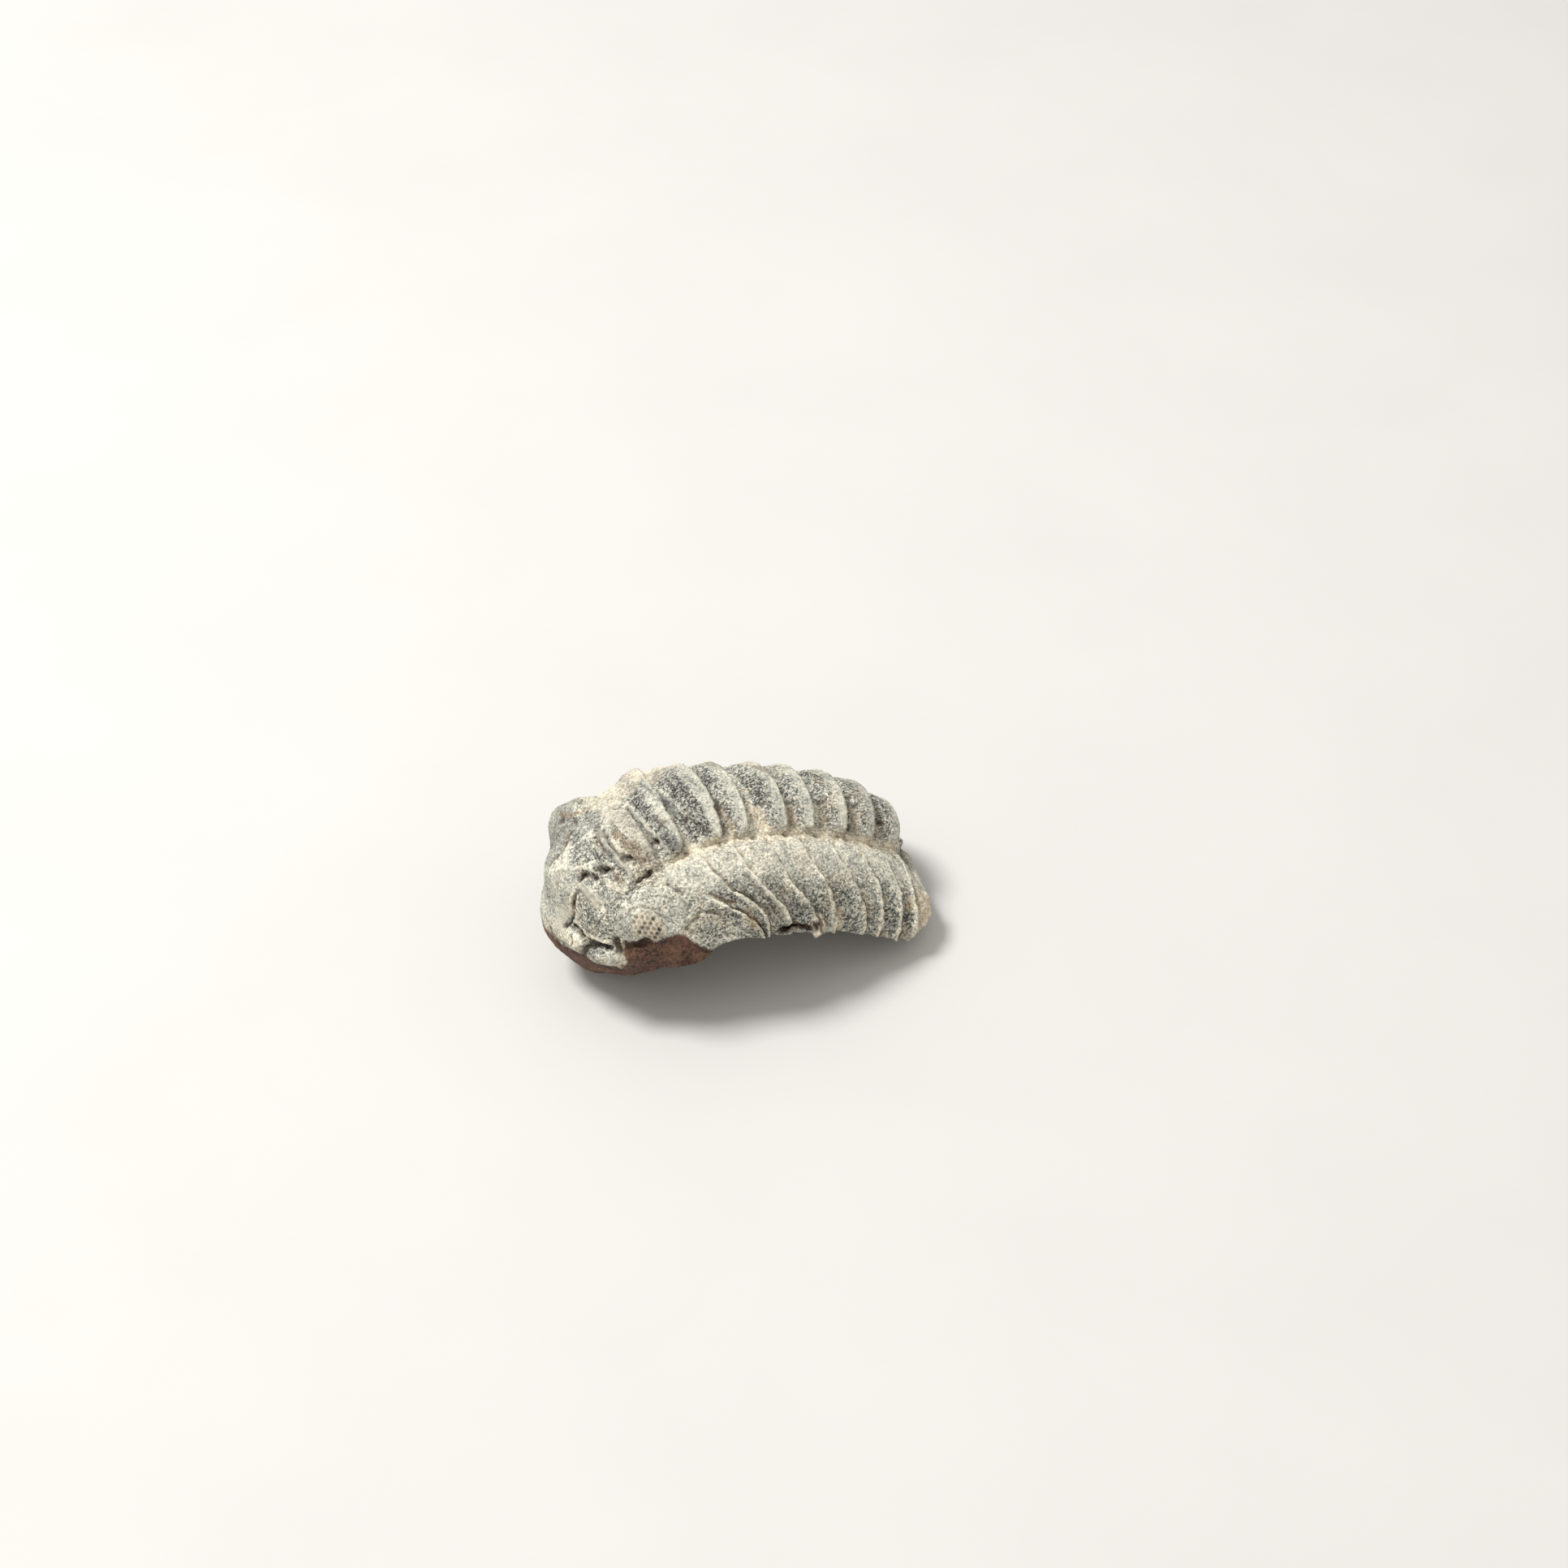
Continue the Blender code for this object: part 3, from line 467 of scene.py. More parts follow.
# Strokes: strengths of the layers, height, half width, line as (u, q)
STROKES = (
    # cracks and sediment beside the front of the head, with black in the cracks as painted shade
    ({"brown": 1, "black": 0.5}, -0.1, 0.08, ((-0.28, -0.148), (-0.56, -0.141), (-0.86, -0.136))),
    ({"black": 0.95}, -0.12, 0.08, ((-0.8, -0.138), (-1, -0.133), (-1.14, -0.15))),
    ({"pale": 1, "ochre": 0.5}, 0.06, 0.1,
     ((-0.38, -0.135), (-0.56, -0.129), (-0.78, -0.126), (-1.19, -0.121), (-1.5, -0.117))),
    ({"brown": 1, "black": 0.5}, -0.1, 0.06, ((-1.3, -0.135), (-1.51, -0.126), (-1.82, -0.118))),
    ({"black": 0.95}, -0.12, 0.08, ((-1.85, -0.117), (-2.06, -0.11), (-2.41, -0.095))),
    ({"black": 1}, -0.2, 0.1,
     ((-2.13, -0.127), (-2.16, -0.143), (-2.26, -0.184), (-2.41, -0.221), (-2.43, -0.245),
      (-2.33, -0.287), (-2.29, -0.313))),
    ({"pale": 1, "ochre": 0.4}, 0.08, 0.1,
     ((-1.5, -0.148), (-1.85, -0.172), (-2.08, -0.208), (-2.1, -0.236), (-2.01, -0.272),
      (-1.9, -0.302))),
    ({"black": 0.9}, -0.25, 0.13, ((-3.5, -0.19), (-3.1, -0.205), (-2.81, -0.218), (-2.6, -0.225))),
    ({"ochre": 0.75, "pale": 0.5, "smooth": 0.6}, 0.14, 0.08,
     ((-1.51, -0.34), (-1.86, -0.354), (-2.45, -0.373), (-2.56, -0.391))),
    ({"brown": 0.5, "pale": 0.3}, 0.1, 0.06, ((-1.2, -0.36), (-1.7, -0.383), (-1.83, -0.405))),
    ({"black": 0.7, "brown": 1}, -0.2, 0.18,
     ((-1.5, -0.39), (-1.4, -0.41), (-1.1, -0.425), (-0.62, -0.438))),
    ({"brown": 1}, -0.1, 0.14, ((-2.9, -0.02), (-3.3, -0.045), (-3.7, -0.055))),
    # bright edge above the worn front, the hook and the stripes under it, with black in the grooves
    # as painted shade
    ({"pale": 0.95, "smooth": 0.5}, 0.06, 0.08,
     ((-0.04, -0.026), (0.33, -0.067), (0.65, -0.105), (0.88, -0.113), (1.25, -0.121))),
    ({"pale": 0.8, "ochre": 0.3}, 0, 0.1, ((0.94, 0.012), (0.66, -0.016), (0.36, -0.048))),
    ({"black": 1, "brown": 0.5}, -0.12, 0.11,
     ((0.29, -0.134), (0.42, -0.128), (0.59, -0.133), (0.7, -0.147), (0.8, -0.175))),
    ({"brown": 0.7}, -0.05, 0.06, ((0.8, -0.175), (0.87, -0.193), (0.97, -0.211))),
    ({"pale": 1, "ochre": 0.3}, 0.05, 0.09, ((0.26, -0.137), (0.14, -0.142))),
    ({"pale": 1, "smooth": 1}, 0.12, 0.12,
     ((0.05, -0.145), (0, -0.165), (-0.05, -0.196), (-0.18, -0.238))),
    ({"black": 0.4, "smooth": 1}, -0.14, 0.11,
     ((0.13, -0.155), (0.06, -0.185), (0, -0.225), (-0.08, -0.25))),
    ({"pale": 1, "smooth": 1}, 0.11, 0.11,
     ((0.24, -0.15), (0.19, -0.168), (0.12, -0.211), (0.03, -0.252))),
    ({"black": 0.35, "brown": 0.3}, -0.08, 0.1, ((-0.1, -0.155), (-0.15, -0.2), (-0.3, -0.24))),
    ({"black": 0.95}, -0.25, 0.13, ((1.15, -0.148), (1.24, -0.158), (1.37, -0.177), (1.48, -0.19))),
    ({"pale": 1, "ochre": 0.3}, 0.08, 0.1,
     ((0.99, -0.215), (1.07, -0.245), (1.11, -0.273), (1.29, -0.281))),
    # thin ridges before the first free ring, and the gap behind them darkened as painted shade
    ({"black": 0.4, "dark": 0.9}, -0.1, 0.1,
     ((2.2, -0.03), (2.02, -0.086), (1.98, -0.13), (1.9, -0.177), (1.85, -0.23))),
    ({"pale": 0.9, "smooth": 1}, 0.11, 0.11,
     ((2.36, -0.025), (2.17, -0.086), (2.13, -0.13), (2.04, -0.177), (1.98, -0.24))),
    ({"dark": 1, "black": 0.45}, -0.11, 0.1,
     ((2.48, -0.03), (2.3, -0.09), (2.29, -0.13), (2.22, -0.17))),
    ({"pale": 0.8}, 0.07, 0.1, ((2.6, -0.03), (2.43, -0.09), (2.44, -0.13), (2.5, -0.15))),
    ({"black": 0.9}, -0.15, 0.1, ((2.36, -0.155), (2.48, -0.18), (2.6, -0.209))),
    ({"black": 1}, -0.15, 0.085, ((1.9, -0.274), (2.34, -0.283), (2.69, -0.285), (2.95, -0.278))),
    # groove behind the lip darkened as painted shade, and thin bright ridges
    ({"black": 0.45, "dark": 0.8, "smooth": 1}, -0.14, 0.1,
     ((3.96, -0.01), (3.99, -0.072), (4.03, -0.139), (4.08, -0.184))),
    ({"black": 1}, -0.12, 0.09, ((4.05, -0.17), (4.12, -0.193))),
    ({"pale": 1, "smooth": 0.8}, 0.07, 0.09,
     ((4.14, -0.01), (4.16, -0.087), (4.23, -0.14), (4.32, -0.197), (4.4, -0.248))),
    ({"dark": 0.9}, -0.05, 0.06, ((5.15, 0.05), (5.3, -0.02), (5.35, -0.08), (5.4, -0.15))),
    ({"pale": 0.9}, 0.05, 0.07, ((6.08, 0.04), (6.12, 0), (6.1, -0.05), (6.15, -0.1))),
    ({"dark": 0.9}, -0.05, 0.06, ((7.45, 0.03), (7.5, -0.02), (7.55, -0.07))),
    # edges on the side plates: pale edges partly painted highlight, dark, brown and black lines
    # beside them partly painted shade
    ({"pale": 1}, 0.08, 0.13,
     ((5.3, -0.515), (5.52, -0.522), (6.16, -0.54), (7.06, -0.55), (7.78, -0.567))),
    ({"brown": 1, "ochre": 0.4}, -0.08, 0.08,
     ((5.2, -0.485), (5.8, -0.512), (6.2, -0.527), (6.9, -0.538))),
    ({"dark": 0.8, "brown": 0.4}, -0.08, 0.2,
     ((8.09, -0.461), (8.47, -0.497), (8.9, -0.524), (9.48, -0.552), (10.1, -0.59))),
    ({"pale": 0.9, "smooth": 0.5}, 0.05, 0.2,
     ((8.75, -0.472), (9.1, -0.503), (9.65, -0.532), (10.3, -0.562))),
    ({"pale": 1}, 0.06, 0.11,
     ((12.7, -0.32), (13, -0.368), (13.3, -0.43), (13.65, -0.48), (13.95, -0.52), (14.2, -0.55),
      (14.46, -0.579), (14.68, -0.613), (14.9, -0.655))),
    ({"brown": 0.7}, -0.06, 0.06,
     ((12.95, -0.33), (13.25, -0.38), (13.55, -0.44), (13.85, -0.475))),
    ({"black": 0.95}, -0.12, 0.07,
     ((13.95, -0.495), (14.2, -0.525), (14.5, -0.55), (14.75, -0.575), (14.9, -0.6))),
    ({"brown": 0.7}, -0.06, 0.08,
     ((6.4, -0.47), (7, -0.503), (7.9, -0.525), (8.6, -0.55), (9.3, -0.575), (9.75, -0.61))),
    ({"ochre": 0.8}, 0.02, 0.07, ((8.3, -0.35), (8.6, -0.38))),
    ({"pale": 0.9}, 0.04, 0.12, ((1.6, -0.56), (1.75, -0.595), (2.3, -0.635))),
    ({"brown": 0.6}, -0.06, 0.08,
     ((2, -0.535), (3.2, -0.54), (4, -0.53), (4.8, -0.545), (5.6, -0.575))),
    ({"ochre": 0.8, "pale": 0.8}, 0.1, 0.11,
     ((13.4, -0.605), (13.72, -0.612), (13.93, -0.631), (13.87, -0.655), (13.5, -0.668))),
    ({"dark": 0.3, "smooth": 0.5}, 0.12, 0.14,
     ((10.6, -0.682), (11.5, -0.685), (12.6, -0.684), (13.2, -0.676))),
    ({"ochre": 0.6, "pale": 0.8}, 0.05, 0.16,
     ((21.95, -0.45), (22, -0.481), (21.97, -0.53), (22.11, -0.59))),
    # rim behind the near eye and the line over it
    ({"pale": 0.8, "smooth": 0.8}, 0.1, 0.14,
     ((1.3, -0.41), (1.12, -0.438), (0.89, -0.467), (0.53, -0.487))),
    ({"brown": 0.9}, -0.07, 0.07,
     ((0.37, -0.345), (0.79, -0.344), (1.17, -0.362), (1.39, -0.39), (1.5, -0.423), (1.5, -0.45))),
    ({"dark": 0.9, "brown": 0.5}, -0.08, 0.11, ((3.2, -0.375), (3.4, -0.41), (3.5, -0.445))),
    ({"brown": 0.7}, -0.05, 0.06, ((2.55, -0.41), (2.9, -0.44))),
    ({"brown": 0.7}, -0.05, 0.06, ((3.15, -0.44), (3.4, -0.475))),
    # the far eye's rock and the valley before it, the valley darkened as painted shade
    ({"brown": 0.8, "ochre": 0.6}, -0.12, 0.09,
     ((1.3, 0.2), (1.5, 0.175), (1.85, 0.15), (2.16, 0.13), (2.6, 0.133), (2.98, 0.119))),
    ({"brown": 0.7, "dark": 0.9}, -0.12, 0.12,
     ((-0.1, 0.022), (0.34, 0.014), (0.77, 0.022), (1.35, 0.063), (1.79, 0.137))),
)
# Spots: strengths of the layers, height, half sizes, (u, q)
# black spots are painted shade in small holes
SPOTS = (
    ({"pale": 0.7}, 0.06, (0.45, 0.8), (-2.65, -0.155)),
    ({"black": 1}, -0.12, (0.11, 0.11), (-2.58, -0.144)),
    ({"black": 0.9}, -0.12, (0.1, 0.12), (-2.81, -0.155)),
    ({"black": 0.8}, -0.1, (0.1, 0.1), (-2.28, -0.185)),
    ({"pale": 0.6}, 0.06, (0.5, 0.8), (-3, -0.32)),
    ({"dark": 0.8}, 0, (0.3, 0.4), (-2.75, -0.25)),
    ({"black": 0.7}, -0.1, (0.11, 0.11), (-3.44, -0.252)),
    ({"black": 0.7}, -0.1, (0.1, 0.11), (-2.6, -0.294)),
    ({"dark": 0.8}, -0.05, (0.2, 0.2), (-3.51, -0.3)),
    ({"pale": 0.9, "ochre": 0.5}, 0.12, (0.3, 0.32), (-3.35, -0.388)),
    ({"brown": 1}, -0.18, (0.13, 0.13), (-3.33, -0.386)),
    ({"brown": 0.9}, -0.03, (0.18, 0.5), (3, -0.15)),
    ({"black": 0.9}, -0.1, (0.1, 0.12), (3.65, 0.012)),
    ({"black": 0.8}, -0.1, (0.1, 0.1), (3.45, 0.018)),
    ({"brown": 0.9}, -0.1, (0.1, 0.12), (3.85, 0)),
    ({"brown": 0.6, "smooth": 0.5}, 0, (0.15, 0.5), (4.85, -0.135)),
    ({"ochre": 0.9, "pale": 0.5}, 0, (0.2, 0.3), (5.65, 0.06)),
    ({"black": 0.8}, -0.1, (0.12, 0.15), (5.85, 0.045)),
    ({"dark": 0.8}, 0, (0.25, 0.4), (14.2, -0.22)),
    ({"brown": 0.8}, -0.1, (0.15, 0.25), (17.5, -0.12)),
    ({"brown": 0.9}, -0.1, (0.18, 0.35), (19.7, -0.16)),
    ({"ochre": 0.7, "brown": 0.4}, 0, (0.4, 0.4), (7.7, -0.585)),
    ({"ochre": 0.7, "brown": 0.4}, 0, (0.4, 0.4), (8.2, -0.61)),
    ({"dark": 1}, 0.06, (0.35, 0.2), (12.5, -0.657)),
    ({"ochre": 0.6}, 0, (0.3, 0.5), (21.1, -0.53)),
    ({"pale": 0.6}, 0.25, (0.45, 0.5), (7.1, 0.35)),
    ({"pale": 0.6}, 0.22, (0.3, 0.4), (6.2, 0.32)),
    ({"pale": 0.6}, 0.18, (0.3, 0.3), (8.4, 0.3)),
    ({"pale": 0.6}, 0.2, (0.3, 0.35), (3.1, 0.2)),
)
# Pits at the ends of the furrows, on both sides: u, q, depth
PITS = (
    (1.28, 0.172, 0.7), (2.45, 0.185, 0.5), (4.05, 0.182, 0.35), (6.12, 0.152, 0.3),
    (8.2, 0.13, 0.3), (10.95, 0.14, 0.3), (13.02, 0.13, 0.3), (15.2, 0.115, 0.25),
    (17.5, 0.12, 0.2), (19.65, 0.16, 0.3), (2.75, 0.275, 0.3), (5.2, 0.29, 0.2),
    (7.4, 0.312, 0.35), (9.7, 0.307, 0.3), (12.0, 0.303, 0.3), (14.3, 0.308, 0.3),
    (16.6, 0.30, 0.25), (18.8, 0.31, 0.3), (20.5, 0.345, 0.25),
)
PIT_SIZE, PIT_BLACK, PIT_BROWN = (0.15, 0.2), (0.1, 0.14), (0.2, 0.26)  # half sizes
# Near eye: (u, q) of the middle, half sizes in u and q, distance and depth of the lens pits
EYE, EYE_HALF = (0.3, -0.424), (0.9, 0.06)
LENS_STEP, LENS_ROW, LENS_DEPTH = 0.35, 0.87, 0.14


def fractal(points, name):
    """Noise between about -1 and 1 at each point."""
    size, octaves, seed = NOISES[name]
    places = (points / size + seed).reshape(-1, 3)
    values = [noise.fractal(Vector(place), 1.0, 2.0, octaves) for place in places]
    return np.array(values).reshape(points.shape[:-1])


def nearest_edge(u, q):
    """Millimetres behind the nearest rear edge of a side plate, and the fraction of the plate."""
    edges = plate_edges(np.abs(q))
    behind = np.full(np.shape(u), 9.0)
    fraction = np.zeros(np.shape(u))
    for front, rear in zip(edges, edges[1:]):
        inside = (u > front) & (u <= rear)
        fraction = np.where(inside, (u - front) / (rear - front), fraction)
        behind = np.where(np.abs(u - rear) < np.abs(behind), u - rear, behind)
    return behind, fraction


def within(u, q, outline):
    """1 inside an outline laid on the skin, 0 outside, soft over the edge."""
    inside = np.zeros(np.shape(u), bool)
    ring = (*outline, outline[0])
    for (u0, q0), (u1, q1) in zip(ring, ring[1:]):
        if q0 != q1:
            crosses = (q0 > q) != (q1 > q)
            inside ^= crosses & (u < u0 + (q - q0) / (q1 - q0) * (u1 - u0))
    return soft(np.where(inside, 1, -1) * away(u, q, ring), -EDGE, EDGE)


class Marks:
    """Strength of each colour layer, and the height that the marks add, at each point."""

    def __init__(self, u, q, points):
        self.u, self.q, self.k, self.points = u, q, np.abs(q), points
        stray_q = q + STRAY / SKIN_PER_Q * fractal(points, "stray q")
        self.stray = u + STRAY * fractal(points, "stray u"), stray_q
        self.layers = {name: np.zeros(np.shape(u)) for name in LAYERS}
        self.height = np.zeros(np.shape(u))

    def put(self, layer, amount):
        self.layers[layer] = np.maximum(self.layers[layer], amount)

    def draw(self, strengths, high, amount):
        for layer, strength in strengths.items():
            self.put(layer, strength * amount)
        self.height += high * amount


def tables(m):
    """The areas, strokes and spots, each in its own place."""
    for strengths, high, outline in AREAS:
        m.draw(strengths, high, within(*m.stray, outline))
    for strengths, high, half, line in STROKES:
        m.draw(strengths, high, bell(away(*m.stray, line), half))
    for strengths, high, size, middle in SPOTS:
        m.draw(strengths, high, mound(*m.stray, middle, size))


def rings(m):
    """Each ring's front darkened as painted shade, worn rear half, pale lip painted as a highlight,
    and undercut painted as shadow in brown and black.
    """
    u, s = m.u, m.stray[0] - RING_SKEW * m.q
    axis = (1 - soft(m.k, 0.24, 0.29)) * soft(u, 4, 5)
    bare = 1 - soft(m.q, 0.0, 0.05) * (1 - soft(u, 5, 6.5))
    for start, end in RINGS:
        lip, undercut = bell(s - end + 0.10, 0.09), bell(s - end - 0.10, 0.075)
        # painted shade on the front of each ring
        m.put("dark", 0.75 * axis * between(s, start - 0.1, start + 0.1, start + 0.3, end - 0.3))
        m.put("smooth", 0.8 * axis * between(s, end - 0.8, end - 0.4, end - 0.05, end + 0.05))
        # painted shadow in brown and black behind the rear edge, and a painted highlight on the lip
        m.put("brown", 0.6 * axis * bell(s - end - 0.12, 0.1))
        m.put("pale", 0.6 * axis * lip)
        m.put("black", 0.8 * axis * undercut * (0.35 + 0.65 * soft(u, 7, 9)))
        m.height += axis * (0.09 * lip - 0.15 * undercut) * bare


def pits(m):
    """Pits at the ends of the furrows, painted black and brown inside as shade."""
    stray_u, stray_k = m.stray[0], np.abs(m.stray[1])
    for u, q, deep in PITS:
        m.height -= 0.5 * deep * mound(m.u, m.k, (u, q), PIT_SIZE, 2)
        # painted shade in each pit, black in the middle and brown around it
        m.put("black", (0.3 + deep) * mound(stray_u, stray_k, (u, q), PIT_BLACK, 2))
        m.put("brown", 0.5 * mound(stray_u, stray_k, (u, q), PIT_BROWN, 2))


def furrow(m):
    """Sediment in the furrow beside the axis."""
    filled = bell(m.k - Q_FURROW, 0.035) * between(m.u, 3, 4.5, 21, 22.5)
    m.put("pale", 0.85 * filled)
    m.put("ochre", 0.4 * filled)


def plates(m):
    """Each side plate's pale crest painted as a highlight, dark band before it painted as shade in
    the hollow, and brown line behind it painted as shadow.
    """
    u, k = m.u, m.k
    behind, fraction = nearest_edge(*m.stray)
    along = between(u, 4.6, 6, 22, 23)
    low = between(k, 0.44, 0.53, 0.67, 0.71) * along
    crest = between(k, 0.31, 0.38, 0.67, 0.71) * along
    # painted highlight on the crest and painted shadow behind the edge
    m.put("pale", crest * bell(behind + 0.14, 0.16))
    m.put("brown", (0.75 * crest - 0.1 * low) * bell(behind - 0.12, 0.09))
    m.height += crest * 0.08 * bell(behind + 0.14, 0.14)
    m.height -= crest * 0.12 * bell(behind - 0.10, 0.10)
    band = between(fraction, 0.05, 0.2, 0.6, 0.85) * between(k, 0.33, 0.42, 0.67, 0.72)
    # painted shade in the hollow of each plate, stronger low on the flank
    m.put("dark", (0.1 + 0.42 * low) * band * soft(u, 4, 6))
    m.put("pale", 0.3 * between(k, 0.31, 0.34, 0.42, 0.50) * soft(u, 2, 4))
    m.put("smooth", 0.45 * between(k, 0.31, 0.34, 0.46, 0.54))


def dust(m):
    """The belly darkened as painted shade, and sediment here and there all over."""
    # painted shade: the underside darker
    m.put("dark", 0.3 * soft(m.k, 0.70, 0.78))
    ochre = soft(fractal(m.points, "ochre"), 0.12, 0.5)
    ochre = ochre * (0.25 + 0.25 * soft(m.k, 0.7, 0.8))
    m.put("ochre", ochre * (1 - m.layers["smooth"]))
    m.put("pale", 0.25 * soft(fractal(m.points, "pale"), 0.1, 0.5))


def grain(m, grain_height, crumb_height):
    """Grain and crumbs, rougher in the sediment and on the underside."""
    of = m.layers
    rough = 0.5 + 0.9 * of["ochre"] + 0.5 * of["pale"] + 0.4 * of["brown"]
    rough = rough * (1 - 0.75 * of["smooth"]) * (1 - 0.4 * of["shaded_facet"])
    rough = rough + 1.2 * soft(m.k, 0.74, 0.84)
    height = grain_height * fractal(m.points, "grain")
    m.height += (height + crumb_height * fractal(m.points, "crumb")) * rough


def lenses(m):
    """Rows of small pits on the near eye."""
    u, q = m.u - EYE[0], m.q - EYE[1]
    down = q * SKIN_PER_Q / LENS_STEP
    row = np.round(down / LENS_ROW)
    along = u / LENS_STEP + 0.5 * (row % 2)
    lens = np.round(along)
    inside = 1 - soft(np.hypot(u / EYE_HALF[0], q / EYE_HALF[1]), 0.8, 1.1)
    uneven = 0.68 + 0.32 * np.sin(12.9 * lens + 78.2 * row)
    round_pit = 1 - soft(np.hypot(along - lens, down - row * LENS_ROW), 0.2, 0.48)
    holes = inside * uneven * round_pit
    # painted shade in each lens pit
    m.put("black", holes)
    m.put("smooth", inside)
    m.put("pale", 0.8 * inside * (1 - holes))
    m.put("ochre", 0.45 * inside)
    m.height -= LENS_DEPTH * holes


def columns_around(count):
    """Columns of points: closest on the near side and the back."""
    at = (-1, -0.74, -0.70, 0.34, 0.40, 0.72, 1)
    density = (0.9, 1.0, 3.4, 3.4, 2.0, 1.4, 0.9)
    fine = np.linspace(-1, 1, 4001)
    total = np.concatenate([[0], np.cumsum(np.interp(fine[1:], at, density))])
    return np.interp(np.arange(count) / count, total / total[-1], fine)


def body_grid(settings):
    """Points in millimetres, and the colour layers, for a grid of rows and columns."""
    rows = np.linspace(SNOUT, TAIL, settings.rows)
    columns = columns_around(settings.columns)
    u = np.stack([laid(rows, q) for q in columns], 1)
    q = np.broadcast_to(columns, u.shape)
    smooth = surface(u, q)
    marks = Marks(u, q, smooth)
    for draw in (tables, rings, pits, furrow, plates, dust):
        draw(marks)
    grain(marks, settings.grain_height / MM, settings.crumb_height / MM)
    lenses(marks)
    around = np.roll(smooth, -1, 1) - np.roll(smooth, 1, 1)
    along = np.gradient(smooth, axis=0)
    n = np.cross(along, around)
    n = n / np.maximum(np.linalg.norm(n, axis=-1, keepdims=True), 1e-9)
    # The rock stays flat where it stands on the ground
    height = marks.height * soft(smooth[..., 2], 0.0, 0.3)
    return smooth + n * height[..., None] - CENTRE, marks.layers


def fit_box(points, low, high):
    """Draws the points in where they pass the box of the solid."""
    for axis in range(3):
        found = points[..., axis].min(), points[..., axis].max()
        inside = max(found[0], low[axis]), min(found[1], high[axis])
        scale = (inside[1] - inside[0]) / (found[1] - found[0])
        points[..., axis] = inside[0] + (points[..., axis] - found[0]) * scale
    return points


def body_mesh(settings):
    """A sphere whose rows and columns of points are laid on the body, with its colour layers."""
    points, layers = body_grid(settings)
    points = fit_box(points * MM, *(np.array(corner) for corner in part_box(NODE)))
    rows, columns = points.shape[:2]
    bm = bmesh.new()
    bmesh.ops.create_uvsphere(bm, u_segments=columns, v_segments=rows + 1, radius=1)
    if len(bm.verts) != rows * columns + 2:
        raise RuntimeError("the sphere doesn't have one point for each place of the grid")
    place = []
    for vert in bm.verts:
        row = round(math.acos(max(-1, min(1, vert.co.z))) / math.pi * (rows + 1))
        if row in (0, rows + 1):
            row, column = (0, -1) if row == 0 else (rows - 1, -1)
            vert.co = points[row].mean(0)
        else:
            row -= 1
            column = round(math.atan2(vert.co.y, vert.co.x) / (2 * math.pi) * columns) % columns
            vert.co = points[row, column]
        place.append((row, column))
    bmesh.ops.recalc_face_normals(bm, faces=bm.faces)
    for face in bm.faces:
        face.smooth = True
    mesh = bpy.data.meshes.new("fossil_body")
    bm.to_mesh(mesh)
    bm.free()
    row, column = np.array(place).T
    for name in LAYERS:
        layer = mesh.attributes.new(name, "FLOAT", "POINT")
        layer.data.foreach_set("value", layers[name][row, column].astype(np.float32))
    return mesh


# Materials

# Noise of the stone, in turns per metre
BROAD, MOTTLE, PATCHES, FLOOR_PATCHES = 700.0, 2700.0, 4200.0, 60.0
RELIEF_OF_GRAINS = 0.00006  # metres


class Nodes:
    """Short ways to add and link the nodes of one material."""

    def __init__(self, name):
        self.material = bpy.data.materials.new(name)
        self.material.use_nodes = True
        self.tree = self.material.node_tree
        self.shader = self.tree.nodes["Principled BSDF"]
        self.where = self.add("ShaderNodeTexCoord").outputs["Object"]

    def add(self, kind, **values):
        node = self.tree.nodes.new(kind)
        for key, value in values.items():
            if hasattr(node, key):
                setattr(node, key, value)
            else:
                node.inputs[key.replace("_", " ")].default_value = value
        return node

    def put(self, value, socket):
        if isinstance(value, bpy.types.NodeSocket):
            self.tree.links.new(value, socket)
        else:
            socket.default_value = value

    def math(self, operation, a, b=0.5, c=0.5):
        node = self.add("ShaderNodeMath", operation=operation)
        for value, socket in zip((a, b, c), node.inputs):
            self.put(value, socket)
        return node.outputs[0]

    def scaled(self, value, factor, offset):
        """value * factor + offset."""
        return self.math("MULTIPLY_ADD", value, factor, offset)

    def mix(self, factor, a, b, blend="MIX"):
        node = self.add("ShaderNodeMix", data_type="RGBA", blend_type=blend)
        for value, socket in zip((factor, a, b), (node.inputs[0], *node.inputs[6:8])):
            self.put(value, socket)
        return node.outputs[2]

    def noise(self, scale, detail=2.0, roughness=0.5):
        node = self.add("ShaderNodeTexNoise", Scale=scale, Detail=detail, Roughness=roughness)
        self.put(self.where, node.inputs["Vector"])
        return node.outputs["Fac"]

    def range(self, value, low, high, to_low=0.0, to_high=1.0):
        node = self.add("ShaderNodeMapRange")
        for number, socket in zip((value, low, high, to_low, to_high), node.inputs):
            self.put(number, socket)
        return node.outputs[0]

    def layer(self, name):
        return self.add("ShaderNodeAttribute", attribute_name=name).outputs["Fac"]


